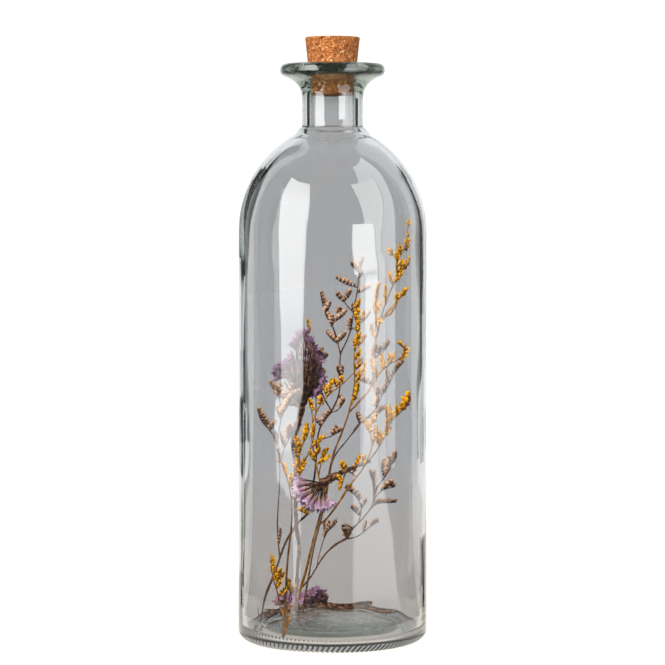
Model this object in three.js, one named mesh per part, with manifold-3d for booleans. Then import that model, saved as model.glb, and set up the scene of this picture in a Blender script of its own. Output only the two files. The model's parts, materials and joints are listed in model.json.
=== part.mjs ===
// Dried flowers in a tall glass bottle with a cork.
//
// Millimetres, +Z up. The origin is on the surface that the bottle stands on, under the middle of its
// foot. Seen from the front, +X is to the right and +Y is away. The glass is one turned solid. Each dried
// spray is one fused solid: stems laid along short routes, and combs of buds that grow from them by one
// rule. A winged statice is two solids, its dark stem with the bracts and its papery head.

import * as THREE from 'three';
import { mergeVertices } from 'three/addons/utils/BufferGeometryUtils.js';
import Module from 'manifold-3d';

const wasm = await Module();
wasm.setup();

// Bottle, outside
const footRadius = 47.8;
const shoulderRadius = 47.4;
const heelRadius = 5.4;
const ringInnerRadius = 38.5;
const shoulderStart = 206.6;
const shoulderArcRadius = 54.8;
const neckRadius = 15.4;
const neckFootHeight = 259;
const flareStart = 273.5;
const lipRadius = 26.2;
const lipTop = 290;

// Bottle, inside
const wallThickness = 4.3;
const boreRadius = 11.1;
const boreFootHeight = 257;
const floorHeight = 4.6;
const floorCornerRadius = 4;
const kickUpHeight = 10.6;
const undersideHeight = 5.6;
const bottleSides = 32;

// Cork
const corkTop = 303.4;
const corkBottom = 274.8;
const corkTopRadius = 13.7;
const corkBottomRadius = 10.8;
const corkBevel = 0.7;
const corkSides = 24;

// Dried sprays
const seatGap = 0.3;
const wallGap = 0.6;
const stemSides = 4;
const frameSteps = 48;
const budPitch = 1.3;
const budReach = 1.6;
const lastBudReach = 1.2;
const budPush = 0.7;
const tipPush = 1.2;
const combCore = 0.6;
const twigReach = 0.35;
const twigShare = 0.15;
const combLength = 6.8;
const combStep = 0.8;
const combSpread = THREE.MathUtils.degToRad(56);
const combTipSpread = THREE.MathUtils.degToRad(35);
const sprayFlatness = 0.5;
const goldenAngle = THREE.MathUtils.degToRad(137.5);

// Winged statice
const coreSides = 5;
const coreTaper = 0.35;
const floretSides = 6;
const floretRadius = 3.5;
const floretLength = 6.5;
const floretFrill = 0.9;
const floretDish = 2.3;
const bractSides = 3;
const bractReach = 1;
const bractRootReach = 0.8;
const bractTipReach = 0.25;
const ribReach = 0.8;
const stalkReach = 0.7;
const stalkWing = 1.2;
const headGap = 0.55;

const vector = (point) => new THREE.Vector3(...point);
const curve = (route) => new THREE.CatmullRomCurve3(route.map(vector), false, 'centripetal');

// Points on an arc of the bottle's outline, angles in degrees from the outward direction.
function arc(centreRadius, centreHeight, radius, from, to, steps) {
  return Array.from({ length: steps + 1 }, (_, i) => {
    const angle = THREE.MathUtils.degToRad(from + ((to - from) * i) / steps);
    return [centreRadius + radius * Math.cos(angle), centreHeight + radius * Math.sin(angle)];
  });
}

const insideRadius = shoulderRadius - wallThickness;
const shoulderArcCentre = shoulderRadius - shoulderArcRadius;
const insideArcRadius = shoulderArcRadius - wallThickness;

// The floor inside, from the corner of the wall to the middle of the kick-up.
const floorOutline = [
  ...arc(insideRadius - floorCornerRadius, floorHeight + floorCornerRadius, floorCornerRadius, 0, -90, 3),
  [34, 5.2],
  [30, 7.6],
  [14, 9.8],
  [0, kickUpHeight],
];

// How high the glass floor stands at a distance from the axis.
function floorAt(radius) {
  const outer = floorOutline.findIndex((point) => point[0] <= radius);
  if (outer < 1) {
    return outer < 0 ? kickUpHeight : floorOutline[0][1];
  }
  const [r0, z0] = floorOutline[outer - 1];
  const [r1, z1] = floorOutline[outer];
  return z0 + ((z1 - z0) * (r0 - radius)) / (r0 - r1);
}

// How far the inner wall stands from the axis at a height.
function wallAt(height) {
  const rise = Math.max(0, height - shoulderStart);
  return shoulderArcCentre + Math.sqrt(Math.max(0, insideArcRadius ** 2 - rise ** 2));
}

// Moves a point that would touch the glass back inside it.
function keepInside(point) {
  const reach = Math.hypot(point.x, point.y);
  const limit = wallAt(point.z) - wallGap;
  if (reach > limit) {
    point.x *= limit / reach;
    point.y *= limit / reach;
  }
  point.z = Math.max(point.z, floorAt(Math.min(reach, limit)) + seatGap);
  return point;
}

function turned(outline, sides) {
  const points = outline.map(([radius, height]) => new THREE.Vector2(Math.max(radius, 0), height));
  return new THREE.LatheGeometry(points, sides).rotateX(Math.PI / 2);
}

function bottleShape() {
  const underside = [
    [0, undersideHeight],
    [20, 4.9],
    [32, 2.8],
    [ringInnerRadius, 0],
  ];
  const heel = arc(footRadius - heelRadius, heelRadius, heelRadius, -90, 0, 3);
  const shoulder = arc(shoulderArcCentre, shoulderStart, shoulderArcRadius, 0, 59, 6);
  const neck = [
    [17.7, 255.4],
    [16.4, 256.9],
    [neckRadius, neckFootHeight],
    [neckRadius, flareStart],
    [16.2, 277.3],
    [18.2, 280.3],
    [21.4, 282.6],
    [24.6, 284.1],
  ];
  const lip = [
    [lipRadius, 286.6],
    [25.7, 288.9],
    [23.6, lipTop],
    [18, 288.4],
    [13.2, 285.8],
  ];
  const bore = [
    [12.1, 284],
    [boreRadius, 273],
    [boreRadius, boreFootHeight],
  ];
  const inside = arc(shoulderArcCentre, shoulderStart, insideArcRadius, 66, 0, 5);
  const outside = [...underside, ...heel, ...shoulder, ...neck, ...lip];
  return turned([...outside, ...bore, ...inside, ...floorOutline], bottleSides);
}

function corkShape() {
  return turned(
    [
      [0, corkBottom],
      [corkBottomRadius - corkBevel, corkBottom],
      [corkBottomRadius, corkBottom + corkBevel],
      [corkTopRadius, corkTop - corkBevel],
      [corkTopRadius - corkBevel, corkTop],
      [0, corkTop],
    ],
    corkSides,
  );
}

// Turns a closed geometry into a solid that can be joined and cut.
function solid(geometry) {
  const bare = geometry.toNonIndexed();
  bare.deleteAttribute('normal');
  bare.deleteAttribute('uv');
  const merged = mergeVertices(bare, 1e-4);
  return new wasm.Manifold(
    new wasm.Mesh({
      numProp: 3,
      vertProperties: new Float32Array(merged.attributes.position.array),
      triVerts: new Uint32Array(merged.index.array),
    }),
  );
}

function shape(body) {
  const mesh = body.getMesh();
  const geometry = new THREE.BufferGeometry();
  geometry.setAttribute('position', new THREE.BufferAttribute(new Float32Array(mesh.vertProperties), 3));
  geometry.setIndex(new THREE.BufferAttribute(new Uint32Array(mesh.triVerts), 1));
  geometry.computeVertexNormals();
  return geometry;
}

// The largest body of a fused solid. This fills a hollow that fusing sealed, and drops a loose scrap.
function largest(body) {
  return body.decompose().reduce((a, b) => (a.volume() > b.volume() ? a : b));
}

function fuse(pieces) {
  return pieces.map(solid).reduce((whole, piece) => whole.add(piece));
}

// Where the route's points lie, as shares of the whole length of their curve.
function sharesOf(route, path) {
  const finer = 20;
  const lengths = path.getLengths((route.length - 1) * finer);
  return route.map((_, i) => lengths[i * finer] / lengths[lengths.length - 1]);
}

// Lays a few-sided cylinder along a path, with one ring at each station. A station's at is its share of
// the path's length and its reach the distance of the skin from the path. Where it has buds, every other
// side stands out by the bud's reach and is pushed towards the tip, and the next row takes the sides
// between. A wing makes every other side stand out in one plane, as on a winged stem.
function skinAlong(path, stations, sides = stemSides) {
  const geometry = new THREE.CylinderGeometry(1, 1, 1, sides, stations.length - 1);
  const frames = path.computeFrenetFrames(frameSteps, false);
  const places = geometry.attributes.position;
  const corner = new THREE.Vector3();
  for (let i = 0; i < places.count; i += 1) {
    corner.fromBufferAttribute(places, i);
    const row = Math.round((corner.y + 0.5) * (stations.length - 1));
    const station = stations[row];
    const step = Math.round(station.at * frameSteps);
    const across = Math.hypot(corner.x, corner.z) > 0.5;
    const turn = Math.atan2(corner.x, corner.z);
    const side = Math.round((turn * sides) / (2 * Math.PI)) + sides;
    const isBud = across && station.buds && (side + row) % 2 === 0;
    const isTip = !across && station.buds;
    const isWing = across && station.wing && side % 2 === 0;
    const reach = isBud ? station.buds : isWing ? station.wing : station.reach;
    const place = path.getPointAt(station.at);
    place.addScaledVector(frames.normals[step], corner.x * reach);
    place.addScaledVector(frames.binormals[step], -corner.z * reach);
    place.addScaledVector(frames.tangents[step], isBud ? budPush : isTip ? tipPush : 0);
    keepInside(place);
    places.setXYZ(i, place.x, place.y, place.z);
  }
  return geometry;
}

// The stations of a comb of buds that fills the path from a share of its length to its end.
function budRows(length, from) {
  const rows = Math.max(2, Math.round((length * (1 - from)) / budPitch));
  return Array.from({ length: rows }, (_, i) => {
    const buds = i === rows - 1 ? lastBudReach : budReach;
    return { at: from + ((1 - from) * (i + 0.5)) / rows, reach: combCore, buds };
  });
}

// The stations of a stem that thins from its root to its tip, with a ring at each point of its route. Its
// last stretch may be a comb of buds.
function stemStations({ route, girth, comb = 0 }, path) {
  const length = path.getLength();
  const bare = Math.max(0.05, 1 - comb / length);
  const shares = sharesOf(route, path).filter((at) => comb === 0 || at < bare - 1 / length);
  const stations = shares.map((at) => ({ at, reach: THREE.MathUtils.lerp(girth[0], girth[1], at) }));
  if (comb > 0) {
    stations.push({ at: bare, reach: girth[1] }, ...budRows(length, bare));
  }
  return stations;
}

// The point on the straight line between the two stations around a share of the length.
function middleOf(path, stations, at) {
  const next = Math.max(1, stations.findIndex((station) => station.at >= at));
  const [a, b] = [stations[next - 1].at, stations[next].at];
  return path.getPointAt(a).lerp(path.getPointAt(b), (at - a) / (b - a));
}

// The combs that grow from a stem. They are spread over the last span of its length, each turned by the
// golden angle from the one before, and each bends towards the tip. Of every three, the second and third
// are one and two steps smaller. The sprays are flatter from front to back.
function sideCombs({ combs = 0, span = 0.5 }, path, stations) {
  const frames = path.computeFrenetFrames(frameSteps, false);
  return Array.from({ length: combs }, (_, i) => {
    const at = 1 - (span * (i + 0.7)) / combs;
    const step = Math.round(at * frameSteps);
    const outward = frames.normals[step].clone().multiplyScalar(Math.cos(i * goldenAngle));
    outward.addScaledVector(frames.binormals[step], Math.sin(i * goldenAngle));
    outward.y *= sprayFlatness;
    outward.normalize();
    const leaning = (spread) => {
      const direction = outward.clone().multiplyScalar(Math.sin(spread));
      return direction.addScaledVector(frames.tangents[step], Math.cos(spread));
    };
    const length = combLength - combStep * (i % 3);
    const root = middleOf(path, stations, at);
    const middle = root.clone().addScaledVector(leaning(combSpread), length / 2);
    const tip = middle.clone().addScaledVector(leaning(combTipSpread), length / 2);
    const twig = new THREE.QuadraticBezierCurve3(root, middle, tip);
    return skinAlong(twig, [{ at: 0, reach: twigReach }, ...budRows(length, twigShare)]);
  });
}

// One spray: its branches and their combs fused into one solid. A branch with a comb ends in buds over that
// length, and its combs stand along the last span of it.
function spray(branches) {
  return largest(fuse(branches.flatMap((branch) => {
    const path = curve(branch.route);
    const stations = stemStations(branch, path);
    return [skinAlong(path, stations), ...sideCombs(branch, path, stations)];
  })));
}

// Tall golden spray
const goldenTall = [
  {
    route: [[-24, -32, 5], [-20.5, -29, 16.5], [-15, -25.5, 32], [-11, -22, 46.5], [-7.5, -19, 60]],
    girth: [1, 0.85],
  },
  {
    route: [
      [-7.5, -19, 60], [-4, -17.5, 73.5], [1.5, -15, 97], [9, -13, 119], [11.5, -12, 130.5],
      [11, -11, 141.5], [12, -10, 156], [13, -9, 171.5],
    ],
    girth: [0.8, 0.35], comb: 7, combs: 6, span: 0.38,
  },
  {
    route: [
      [8.5, -13, 117], [12.5, -12, 120.5], [17, -10, 126.5], [19.5, -8.5, 132.5], [19, -7, 141],
      [19.5, -6, 147], [22.5, -5, 156], [22, -5.5, 163], [21.5, -7, 172.5], [23.5, -8, 180],
    ],
    girth: [0.6, 0.35], comb: 6, combs: 3, span: 0.3,
  },
  {
    route: [
      [22.5, -5, 156], [25.5, -4, 167], [29.5, -3, 177.5], [32, -2.5, 184], [32, -2, 192],
      [35.5, -1.5, 197.5], [38, -1, 204], [38.5, 0, 212],
    ],
    girth: [0.5, 0.35], comb: 7, combs: 7, span: 0.7,
  },
  {
    route: [[23.5, -4.5, 160.5], [27, -4.5, 165.5], [31.5, -4, 170.5], [38, -4, 177.5]],
    girth: [0.45, 0.35], comb: 6, combs: 2, span: 0.6,
  },
  {
    route: [
      [19, -9, 129.5], [22.5, -10.5, 135.5], [29, -12.5, 140.5], [34.5, -14, 144],
      [35.5, -14.5, 148], [32.5, -15, 151],
    ],
    girth: [0.5, 0.35], comb: 5, combs: 3, span: 0.6,
  },
  {
    route: [
      [-7.5, -19, 60], [-3, -19.5, 63], [4, -21, 72], [9, -21, 81.5], [14.5, -21, 89],
      [19, -20.5, 99], [18.5, -20.5, 105.5], [15.5, -20, 113],
    ],
    girth: [0.7, 0.35], comb: 5, combs: 3, span: 0.26,
  },
  {
    route: [
      [14.5, -21, 89], [21, -19.5, 97], [25, -18, 104.5], [28.5, -17, 111], [34.5, -14.5, 117.5],
      [37, -12, 126],
    ],
    girth: [0.5, 0.35], comb: 6, combs: 3, span: 0.55,
  },
  {
    route: [[11.5, -21, 84.5], [7.5, -20, 87], [4.5, -23, 79]],
    girth: [0.45, 0.35], comb: 7, combs: 2, span: 0.6,
  },
  {
    route: [
      [-5, -17.5, 71], [-7.5, -19, 85], [-9.5, -20, 95.5], [-10.5, -20, 103], [-9.5, -20, 114.5],
      [-11, -21, 123.5],
    ],
    girth: [0.6, 0.35], comb: 6, combs: 5, span: 0.6,
  },
  {
    route: [
      [-9.5, -20, 112], [-6.5, -19.5, 119.5], [-0.5, -19, 127.5], [3.5, -18.5, 130],
      [11, -18, 136.5],
    ],
    girth: [0.45, 0.35], comb: 5, combs: 3, span: 0.75,
  },
  {
    route: [[-7.5, -19, 85], [-5.5, -16.5, 92], [-2, -15, 98]],
    girth: [0.45, 0.35], comb: 7, combs: 1, span: 0.5,
  },
];

// Short golden spray, three stems from one foot
const goldenShort = [
  {
    route: [
      [-24.5, -12, 5.2], [-24.5, -11.5, 16], [-23.5, -11, 30], [-22, -11, 44.5], [-19.5, -11, 64.5],
      [-19.5, -11, 71.5], [-21, -12.5, 80], [-25.5, -14, 90.5],
    ],
    girth: [0.85, 0.35], comb: 6, combs: 5, span: 0.26,
  },
  {
    route: [
      [-24.5, -12, 11], [-26.5, -13.5, 17.5], [-28, -16, 27], [-29.5, -17.5, 33], [-30.5, -20, 44.5],
    ],
    girth: [0.5, 0.35], comb: 7, combs: 3, span: 0.5,
  },
  {
    route: [[-28, -16, 27], [-27.5, -17.5, 32], [-25.5, -19, 38]],
    girth: [0.45, 0.35], comb: 7,
  },
  {
    route: [[-24.5, -12, 12], [-22.5, -10, 19], [-22, -7, 30]],
    girth: [0.45, 0.35], comb: 6, combs: 1, span: 0.3,
  },
  {
    route: [
      [-19.5, -11, 71.5], [-17, -11, 80], [-15.5, -11, 87.5], [-16, -11, 95], [-14.5, -10.5, 100.5],
      [-12.5, -10, 110],
    ],
    girth: [0.5, 0.35], comb: 6, combs: 4, span: 0.75,
  },
  {
    route: [[-19.5, -11, 66.5], [-16.5, -12.5, 67], [-13, -14, 66]],
    girth: [0.4, 0.35], comb: 6,
  },
];

// Beige spray at the left: a left branch and a tall middle branch
const beigeLeft = [
  {
    route: [[-38.5, 8, 5.3], [-35.5, 7, 14], [-31, 6, 30], [-27, 5, 40]],
    girth: [0.9, 0.75],
  },
  {
    route: [[-37.6, 8, 7.5], [-40, 8.5, 8.5], [-40.8, 9, 12.5]],
    girth: [0.5, 0.4],
  },
  {
    route: [
      [-27, 5, 40], [-29, 5.5, 54.5], [-29.5, 6, 68], [-28.5, 5, 82.5], [-28.5, 4.5, 87.5],
      [-29.5, 3, 97.5], [-31, 2, 102], [-35, 0, 110], [-37.5, -2, 117.5],
    ],
    girth: [0.65, 0.35], comb: 6, combs: 5, span: 0.4,
  },
  {
    route: [[-28.5, 4.5, 87.5], [-24, 1, 96.5], [-21.5, -1, 101], [-20.5, -4, 109.5]],
    girth: [0.45, 0.35], comb: 6, combs: 3, span: 0.6,
  },
  {
    route: [[-29.5, 3, 97.5], [-26.5, -2, 109], [-25.5, -5, 115], [-26, -7.5, 123], [-27.5, -9, 129]],
    girth: [0.45, 0.35], comb: 5, combs: 3, span: 0.55,
  },
  {
    route: [[-25.5, -6, 118], [-21.5, -7.5, 123], [-16.5, -9, 126.5]],
    girth: [0.4, 0.35], comb: 7,
  },
  {
    route: [
      [-27, 5, 40], [-23.5, 3.5, 48], [-16.5, 2, 59], [-13, 1, 63.5], [-10.5, 0, 82],
      [-6.5, 2.5, 106], [-1, 4, 116.5], [3, 5.5, 126], [3.5, 7, 137.5], [4, 8, 144],
    ],
    girth: [0.75, 0.55], combs: 5, span: 0.28,
  },
  {
    route: [[4, 8, 144], [1, 9, 156], [-3, 10, 165], [-5.5, 11, 175.5]],
    girth: [0.5, 0.35], comb: 7, combs: 3, span: 0.7,
  },
  {
    route: [[-0.5, 9, 158], [2.5, 8, 162], [4.5, 7, 167]],
    girth: [0.4, 0.35], comb: 6,
  },
  {
    route: [[4, 8, 144], [8.5, 7.5, 154.5], [10.5, 7, 168], [12, 6, 177], [13, 5, 186.5], [15, 4, 193]],
    girth: [0.5, 0.35], comb: 7, combs: 6, span: 0.7,
  },
  {
    route: [[10, 7, 165], [6.5, 8, 169], [3.5, 9, 175]],
    girth: [0.4, 0.35], comb: 7,
  },
  {
    route: [[-1.5, 3.5, 115.5], [2.5, 2, 117.5], [6.5, 1, 122]],
    girth: [0.4, 0.35], comb: 6,
  },
  {
    route: [[-7.5, 2, 101], [-1.5, 3.5, 102.5], [5, 5, 105.5]],
    girth: [0.4, 0.35], comb: 7,
  },
];

// Thin beige spray behind the tall golden one
const beigeBack = [
  {
    route: [
      [-15, 2, 10.4], [-11.5, 5, 35], [-6.5, 8, 56], [-2, 9.5, 74.5], [2, 11, 91], [9.5, 12, 101.5],
      [15.5, 13, 108.5], [21.5, 13.5, 120], [27.5, 14, 128],
    ],
    girth: [0.75, 0.35], comb: 6, combs: 3, span: 0.22,
  },
  {
    route: [[25, 14, 124.5], [30, 13.5, 129], [32.5, 13, 132.5], [38, 12, 139.5]],
    girth: [0.4, 0.35], comb: 7, combs: 1, span: 0.5,
  },
  {
    route: [[21.5, 13.5, 120], [19.5, 12.5, 129], [20, 11, 139.5], [22.5, 10, 148]],
    girth: [0.45, 0.35], comb: 7, combs: 3, span: 0.6,
  },
  {
    route: [[20.5, 11.5, 141], [25.5, 13, 145], [29, 14, 149]],
    girth: [0.4, 0.35], comb: 7,
  },
  {
    route: [[9.5, 12, 101.5], [16.5, 15, 110.5], [22, 17, 115], [26.5, 18, 117]],
    girth: [0.4, 0.35], comb: 6, combs: 1, span: 0.6,
  },
];

// Beige spray that runs low to the right behind the others
const beigeRight = [
  {
    route: [
      [-26.6, 30.2, 5], [-22, 28.5, 14.5], [-14.5, 27, 22.5], [-6, 24.5, 33.5], [1.5, 22, 42.5],
      [6, 20, 47.5],
    ],
    girth: [0.8, 0.6],
  },
  {
    route: [[-7, 24.8, 32.3], [-5, 25, 40], [-2.5, 26, 47.5], [0.5, 27, 55]],
    girth: [0.4, 0.35], comb: 7, combs: 2, span: 0.4,
  },
  {
    route: [[6, 20, 47.5], [11.5, 18.5, 49.5], [17.5, 17, 53], [26, 15, 57]],
    girth: [0.45, 0.35], comb: 7, combs: 3, span: 0.6,
  },
  {
    route: [
      [6, 20, 47.5], [9.5, 18.5, 54], [15, 16.5, 59.5], [20, 15, 64.5], [22, 14, 68.5],
      [22, 13, 78], [18.5, 12, 84],
    ],
    girth: [0.55, 0.35], comb: 6, combs: 2, span: 0.25,
  },
  {
    route: [[21.8, 14, 67.5], [26, 12, 72.5], [31, 11, 75.5]],
    girth: [0.4, 0.35], comb: 7, combs: 1, span: 0.5,
  },
  {
    route: [[22, 13.8, 71], [27, 11.5, 79], [30, 9.5, 86.5], [33.5, 8, 93]],
    girth: [0.4, 0.35], comb: 7, combs: 3, span: 0.7,
  },
  {
    route: [[11.5, 17.8, 56], [13, 18.5, 63], [11, 19.5, 68.5], [7.5, 20, 74]],
    girth: [0.4, 0.35], comb: 6, combs: 2, span: 0.5,
  },
  {
    route: [[19, 15.3, 63.5], [25, 16.5, 66], [31, 18, 66.5]],
    girth: [0.4, 0.35], comb: 8, combs: 1, span: 0.5,
  },
];

// A floret: a cone that stands on its point and flares to a pleated, dished frill.
function floret(root, outward, size) {
  const length = floretLength * size;
  const geometry = new THREE.ConeGeometry(floretRadius * size, length, floretSides, 1);
  geometry.rotateX(Math.PI);
  geometry.translate(0, length / 2, 0);
  const places = geometry.attributes.position;
  const turn = new THREE.Quaternion().setFromUnitVectors(new THREE.Vector3(0, 1, 0), outward);
  const corner = new THREE.Vector3();
  for (let i = 0; i < places.count; i += 1) {
    corner.fromBufferAttribute(places, i);
    const isFrill = corner.y > length / 2;
    const isMiddle = Math.hypot(corner.x, corner.z) < floretRadius / 2;
    if (isFrill) {
      const around = Math.atan2(corner.x, corner.z) / (2 * Math.PI);
      const side = Math.round(around * floretSides) + floretSides;
      const pleat = side % 2 === 0 ? floretFrill : -floretFrill;
      corner.y += size * (isMiddle ? -floretDish : pleat);
    }
    corner.applyQuaternion(turn).add(root);
    keepInside(corner);
    places.setXYZ(i, corner.x, corner.y, corner.z);
  }
  return geometry;
}

// Florets set along a path, each turned by the golden angle from the one before and leaning towards the
// tip. Of every three, the second and third are a tenth and a fifth smaller. The core that they stand on
// thins towards the tip.
function floretsAlong(route, count, lean, size, coreReach) {
  const path = curve(route);
  const frames = path.computeFrenetFrames(frameSteps, false);
  const stations = sharesOf(route, path).map((at) => ({ at, reach: coreReach * (1 - coreTaper * at) }));
  const core = skinAlong(path, stations, coreSides);
  const florets = Array.from({ length: count }, (_, i) => {
    const at = (i + 0.6) / count;
    const step = Math.round(at * frameSteps);
    const outward = frames.normals[step].clone().multiplyScalar(Math.cos(i * goldenAngle));
    outward.addScaledVector(frames.binormals[step], Math.sin(i * goldenAngle));
    outward.multiplyScalar(Math.cos(lean)).addScaledVector(frames.tangents[step], Math.sin(lean));
    return floret(middleOf(path, stations, at), outward.normalize(), size * (1 - (i % 3) / 10));
  });
  return [core, ...florets];
}

// A route whose ends are moved outwards along it.
function lengthened(route, more) {
  const points = route.map(vector);
  const last = points.length - 1;
  const start = points[0].clone().sub(points[1]).setLength(more).add(points[0]);
  const end = points[last].clone().sub(points[last - 1]).setLength(more).add(points[last]);
  return [start, ...points.slice(1, last), end].map((point) => point.toArray());
}

// A bract or rib: a pointed three-sided blade along a short route.
function bract(route, swell, reach = bractReach) {
  const stations = [
    { at: 0, reach: reach * bractRootReach + swell },
    { at: 0.45, reach: reach + swell },
    { at: 1, reach: bractTipReach + swell },
  ];
  return skinAlong(curve(lengthened(route, swell)), stations, bractSides);
}

// A stem with two narrow wings along it, with a ring at each point of its route.
function wingedStem(route, swell) {
  const path = curve(lengthened(route, swell));
  const shares = sharesOf(route, path);
  return skinAlong(path, shares.map((at) => ({ at, reach: stalkReach + swell, wing: stalkWing + swell })));
}

// Ribs that fan out from one point in the plane of two directions, over an angle in radians.
function ribFan(root, forward, sideways, count, spread, length, swell) {
  return Array.from({ length: count }, (_, i) => {
    const angle = spread * (i / (count - 1) - 0.5);
    const direction = vector(forward).multiplyScalar(Math.cos(angle));
    direction.addScaledVector(vector(sideways), Math.sin(angle));
    const from = vector(root);
    const tip = from.clone().addScaledVector(direction, length);
    const middle = from.clone().lerp(tip, 0.5);
    return bract([from.toArray(), middle.toArray(), tip.toArray()], swell, ribReach);
  });
}

// Upright winged statice
const uprightRoute = [
  [-19, 7, 9.8], [-18.5, 7, 33], [-17.5, 7.5, 45.5], [-18, 8, 56], [-17, 8, 72], [-16.5, 8, 86],
  [-19, 8, 101.5], [-17.5, 7, 110], [-15.5, 5, 119],
];
const uprightStem = (swell = 0) => largest(fuse([
  wingedStem(uprightRoute, swell),
  bract([[-15.5, 5, 117], [-12.5, 1.5, 125], [-9.5, 1, 134], [-8.5, 2, 146]], swell, 1.7),
  bract([[-15.5, 5, 117], [-18, 1, 126], [-20, 1, 134], [-20.5, 2, 142]], swell, 1.6),
  bract([[-15.5, 5, 117], [-21, 2.5, 124], [-25, 3, 131]], swell, 1.5),
  bract([[-15.5, 5, 117], [-15.3, 0, 125], [-14.5, -0.5, 134]], swell, 1.5),
  bract([[-12.5, 1.5, 125], [-9, -1.5, 130], [-7, -2.5, 136]], swell, 1.2),
  bract([[-9.5, 1, 134], [-8, -2, 138], [-8, -3, 144]], swell, 1.1),
  bract([[-18, 1, 126], [-21.5, -1.5, 130], [-23.5, -2, 136]], swell, 1.1),
]));
const uprightHead = fuse([
  ...floretsAlong([[-14, 8.5, 120], [-10.5, 9, 130], [-6.5, 9, 142], [-9.5, 9, 150]], 9, 0.5, 1, 2),
  ...floretsAlong([[-14.5, 8.5, 120], [-19, 9, 132], [-20.5, 8, 146]], 6, 0.45, 1, 2),
  ...floretsAlong([[-14.5, 8.5, 121], [-20, 8, 127], [-25, 7, 134]], 4, 0.35, 1, 1.8),
]);

// Hanging winged statice, caught in the golden stems
const hangingStem = (swell = 0) => largest(fuse([
  wingedStem([[18.5, -22.5, 93], [9, -22.2, 89], [1, -23.2, 85], [-6, -26, 81.5]], swell),
  ...ribFan([-5.5, -26, 82], [-0.62, -0.2, -0.76], [-0.75, 0.05, 0.6], 8, 2.3, 8.5, swell),
]));
const hangingRoute = [[-15.2, -28, 84], [-15, -28.5, 77], [-11, -28.5, 72.5], [-4, -28, 71]];
const hangingHead = fuse(floretsAlong(hangingRoute, 10, 0.1, 0.85, 1.4));

// Winged statice on the floor at the left, its stem laid across the kick-up behind
const floorLeftRoute = [
  [33, 17, 8.4], [24.5, 14, 9.6], [17, 15, 10.4], [0, 17, 10.8], [-12, 15.5, 10.8], [-20, 13.5, 10.6],
  [-28, 10.5, 10],
];
const floorLeftStem = (swell = 0) => largest(fuse([
  wingedStem(floorLeftRoute, swell),
  bract([[-28, 10.5, 10], [-32, 8, 9], [-36.5, 5, 7]], swell, 1.4),
  bract([[-28, 10.5, 10], [-32, 12, 10], [-37, 12, 9]], swell, 1.2),
  bract([[-28, 10.5, 10], [-30, 7, 10], [-33, 2, 9]], swell, 1.2),
]));
const floorLeftHead = fuse(
  floretsAlong([[-29, 17, 13], [-22, 20, 13.6], [-14, 22, 13.4]], 8, 0.25, 0.85, 1.5),
);

// Winged statice on the floor at the right
const floorRightRoute = [
  [22.5, 28.5, 10.4], [20, 28.5, 10.2], [13.5, 28.5, 9.8], [5, 27.5, 9.7], [-1.5, 26.5, 9.9],
  [-9, 26, 10.2],
];
const floorRightStem = (swell = 0) => largest(fuse([
  wingedStem(floorRightRoute, swell),
  bract([[20, 28.5, 10.2], [21.5, 27, 8.6], [23, 25, 7.6]], swell, 0.7),
  bract([[-9, 26, 10.2], [-11, 25, 11], [-13, 24, 12.5]], swell, 1.2),
  bract([[-9, 26, 10.2], [-10, 23.5, 12.5], [-11, 22, 15]], swell, 1.1),
  bract([[-1.5, 26.5, 9.9], [-3, 24, 12.5], [-5, 22.5, 15]], swell, 1.1),
]));
const floorRightHead = fuse(
  floretsAlong([[-1, 29.5, 13.4], [-6, 30, 14.5], [-11, 28.5, 14.4]], 8, 0.25, 0.85, 1.6),
);

// A head is cut back from a swelled copy of its own stem and bracts, so that the two keep clear.
const clearOf = (head, stemShape) => largest(head.subtract(stemShape(headGap)));

// Broken scrap of stem on the floor
const scrap = skinAlong(
  curve([[-39.4, -4, 5.4], [-39.6, -6, 6], [-39.2, -8.5, 5.6]]),
  [{ at: 0, reach: 0.5 }, { at: 0.5, reach: 0.9 }, { at: 1, reach: 0.4 }],
);

const finishes = {
  glass: { color: 0xaeb4b2, roughness: 0.04, metalness: 0, opacity: 0.35, transparent: true },
  cork: { color: 0xc8824a, roughness: 0.9, metalness: 0 },
  golden: { color: 0xd9a21a, roughness: 0.8, metalness: 0 },
  beige: { color: 0xb0906e, roughness: 0.85, metalness: 0 },
  brown: { color: 0x5c4234, roughness: 0.85, metalness: 0 },
  purple: { color: 0x8a6a9c, roughness: 0.8, metalness: 0 },
  lilac: { color: 0xb08fb4, roughness: 0.8, metalness: 0 },
};

const pieces = [
  ['bottle', bottleShape(), 'glass'],
  ['cork', corkShape(), 'cork'],
  ['golden_tall', shape(spray(goldenTall)), 'golden'],
  ['golden_short', shape(spray(goldenShort)), 'golden'],
  ['beige_left', shape(spray(beigeLeft)), 'beige'],
  ['beige_back', shape(spray(beigeBack)), 'beige'],
  ['beige_right', shape(spray(beigeRight)), 'beige'],
  ['upright_stem', shape(uprightStem()), 'brown'],
  ['upright_head', shape(clearOf(uprightHead, uprightStem)), 'purple'],
  ['hanging_stem', shape(hangingStem()), 'brown'],
  ['hanging_head', shape(clearOf(hangingHead, hangingStem)), 'lilac'],
  ['floor_left_stem', shape(floorLeftStem()), 'brown'],
  ['floor_left_head', shape(clearOf(floorLeftHead, floorLeftStem)), 'purple'],
  ['floor_right_stem', shape(floorRightStem()), 'brown'],
  ['floor_right_head', shape(clearOf(floorRightHead, floorRightStem)), 'purple'],
  ['scrap', scrap, 'brown'],
];

const part = new THREE.Group();
for (const [name, geometry, finish] of pieces) {
  const mesh = new THREE.Mesh(geometry, new THREE.MeshStandardMaterial(finishes[finish]));
  mesh.name = name;
  part.add(mesh);
}

export default part;
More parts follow.
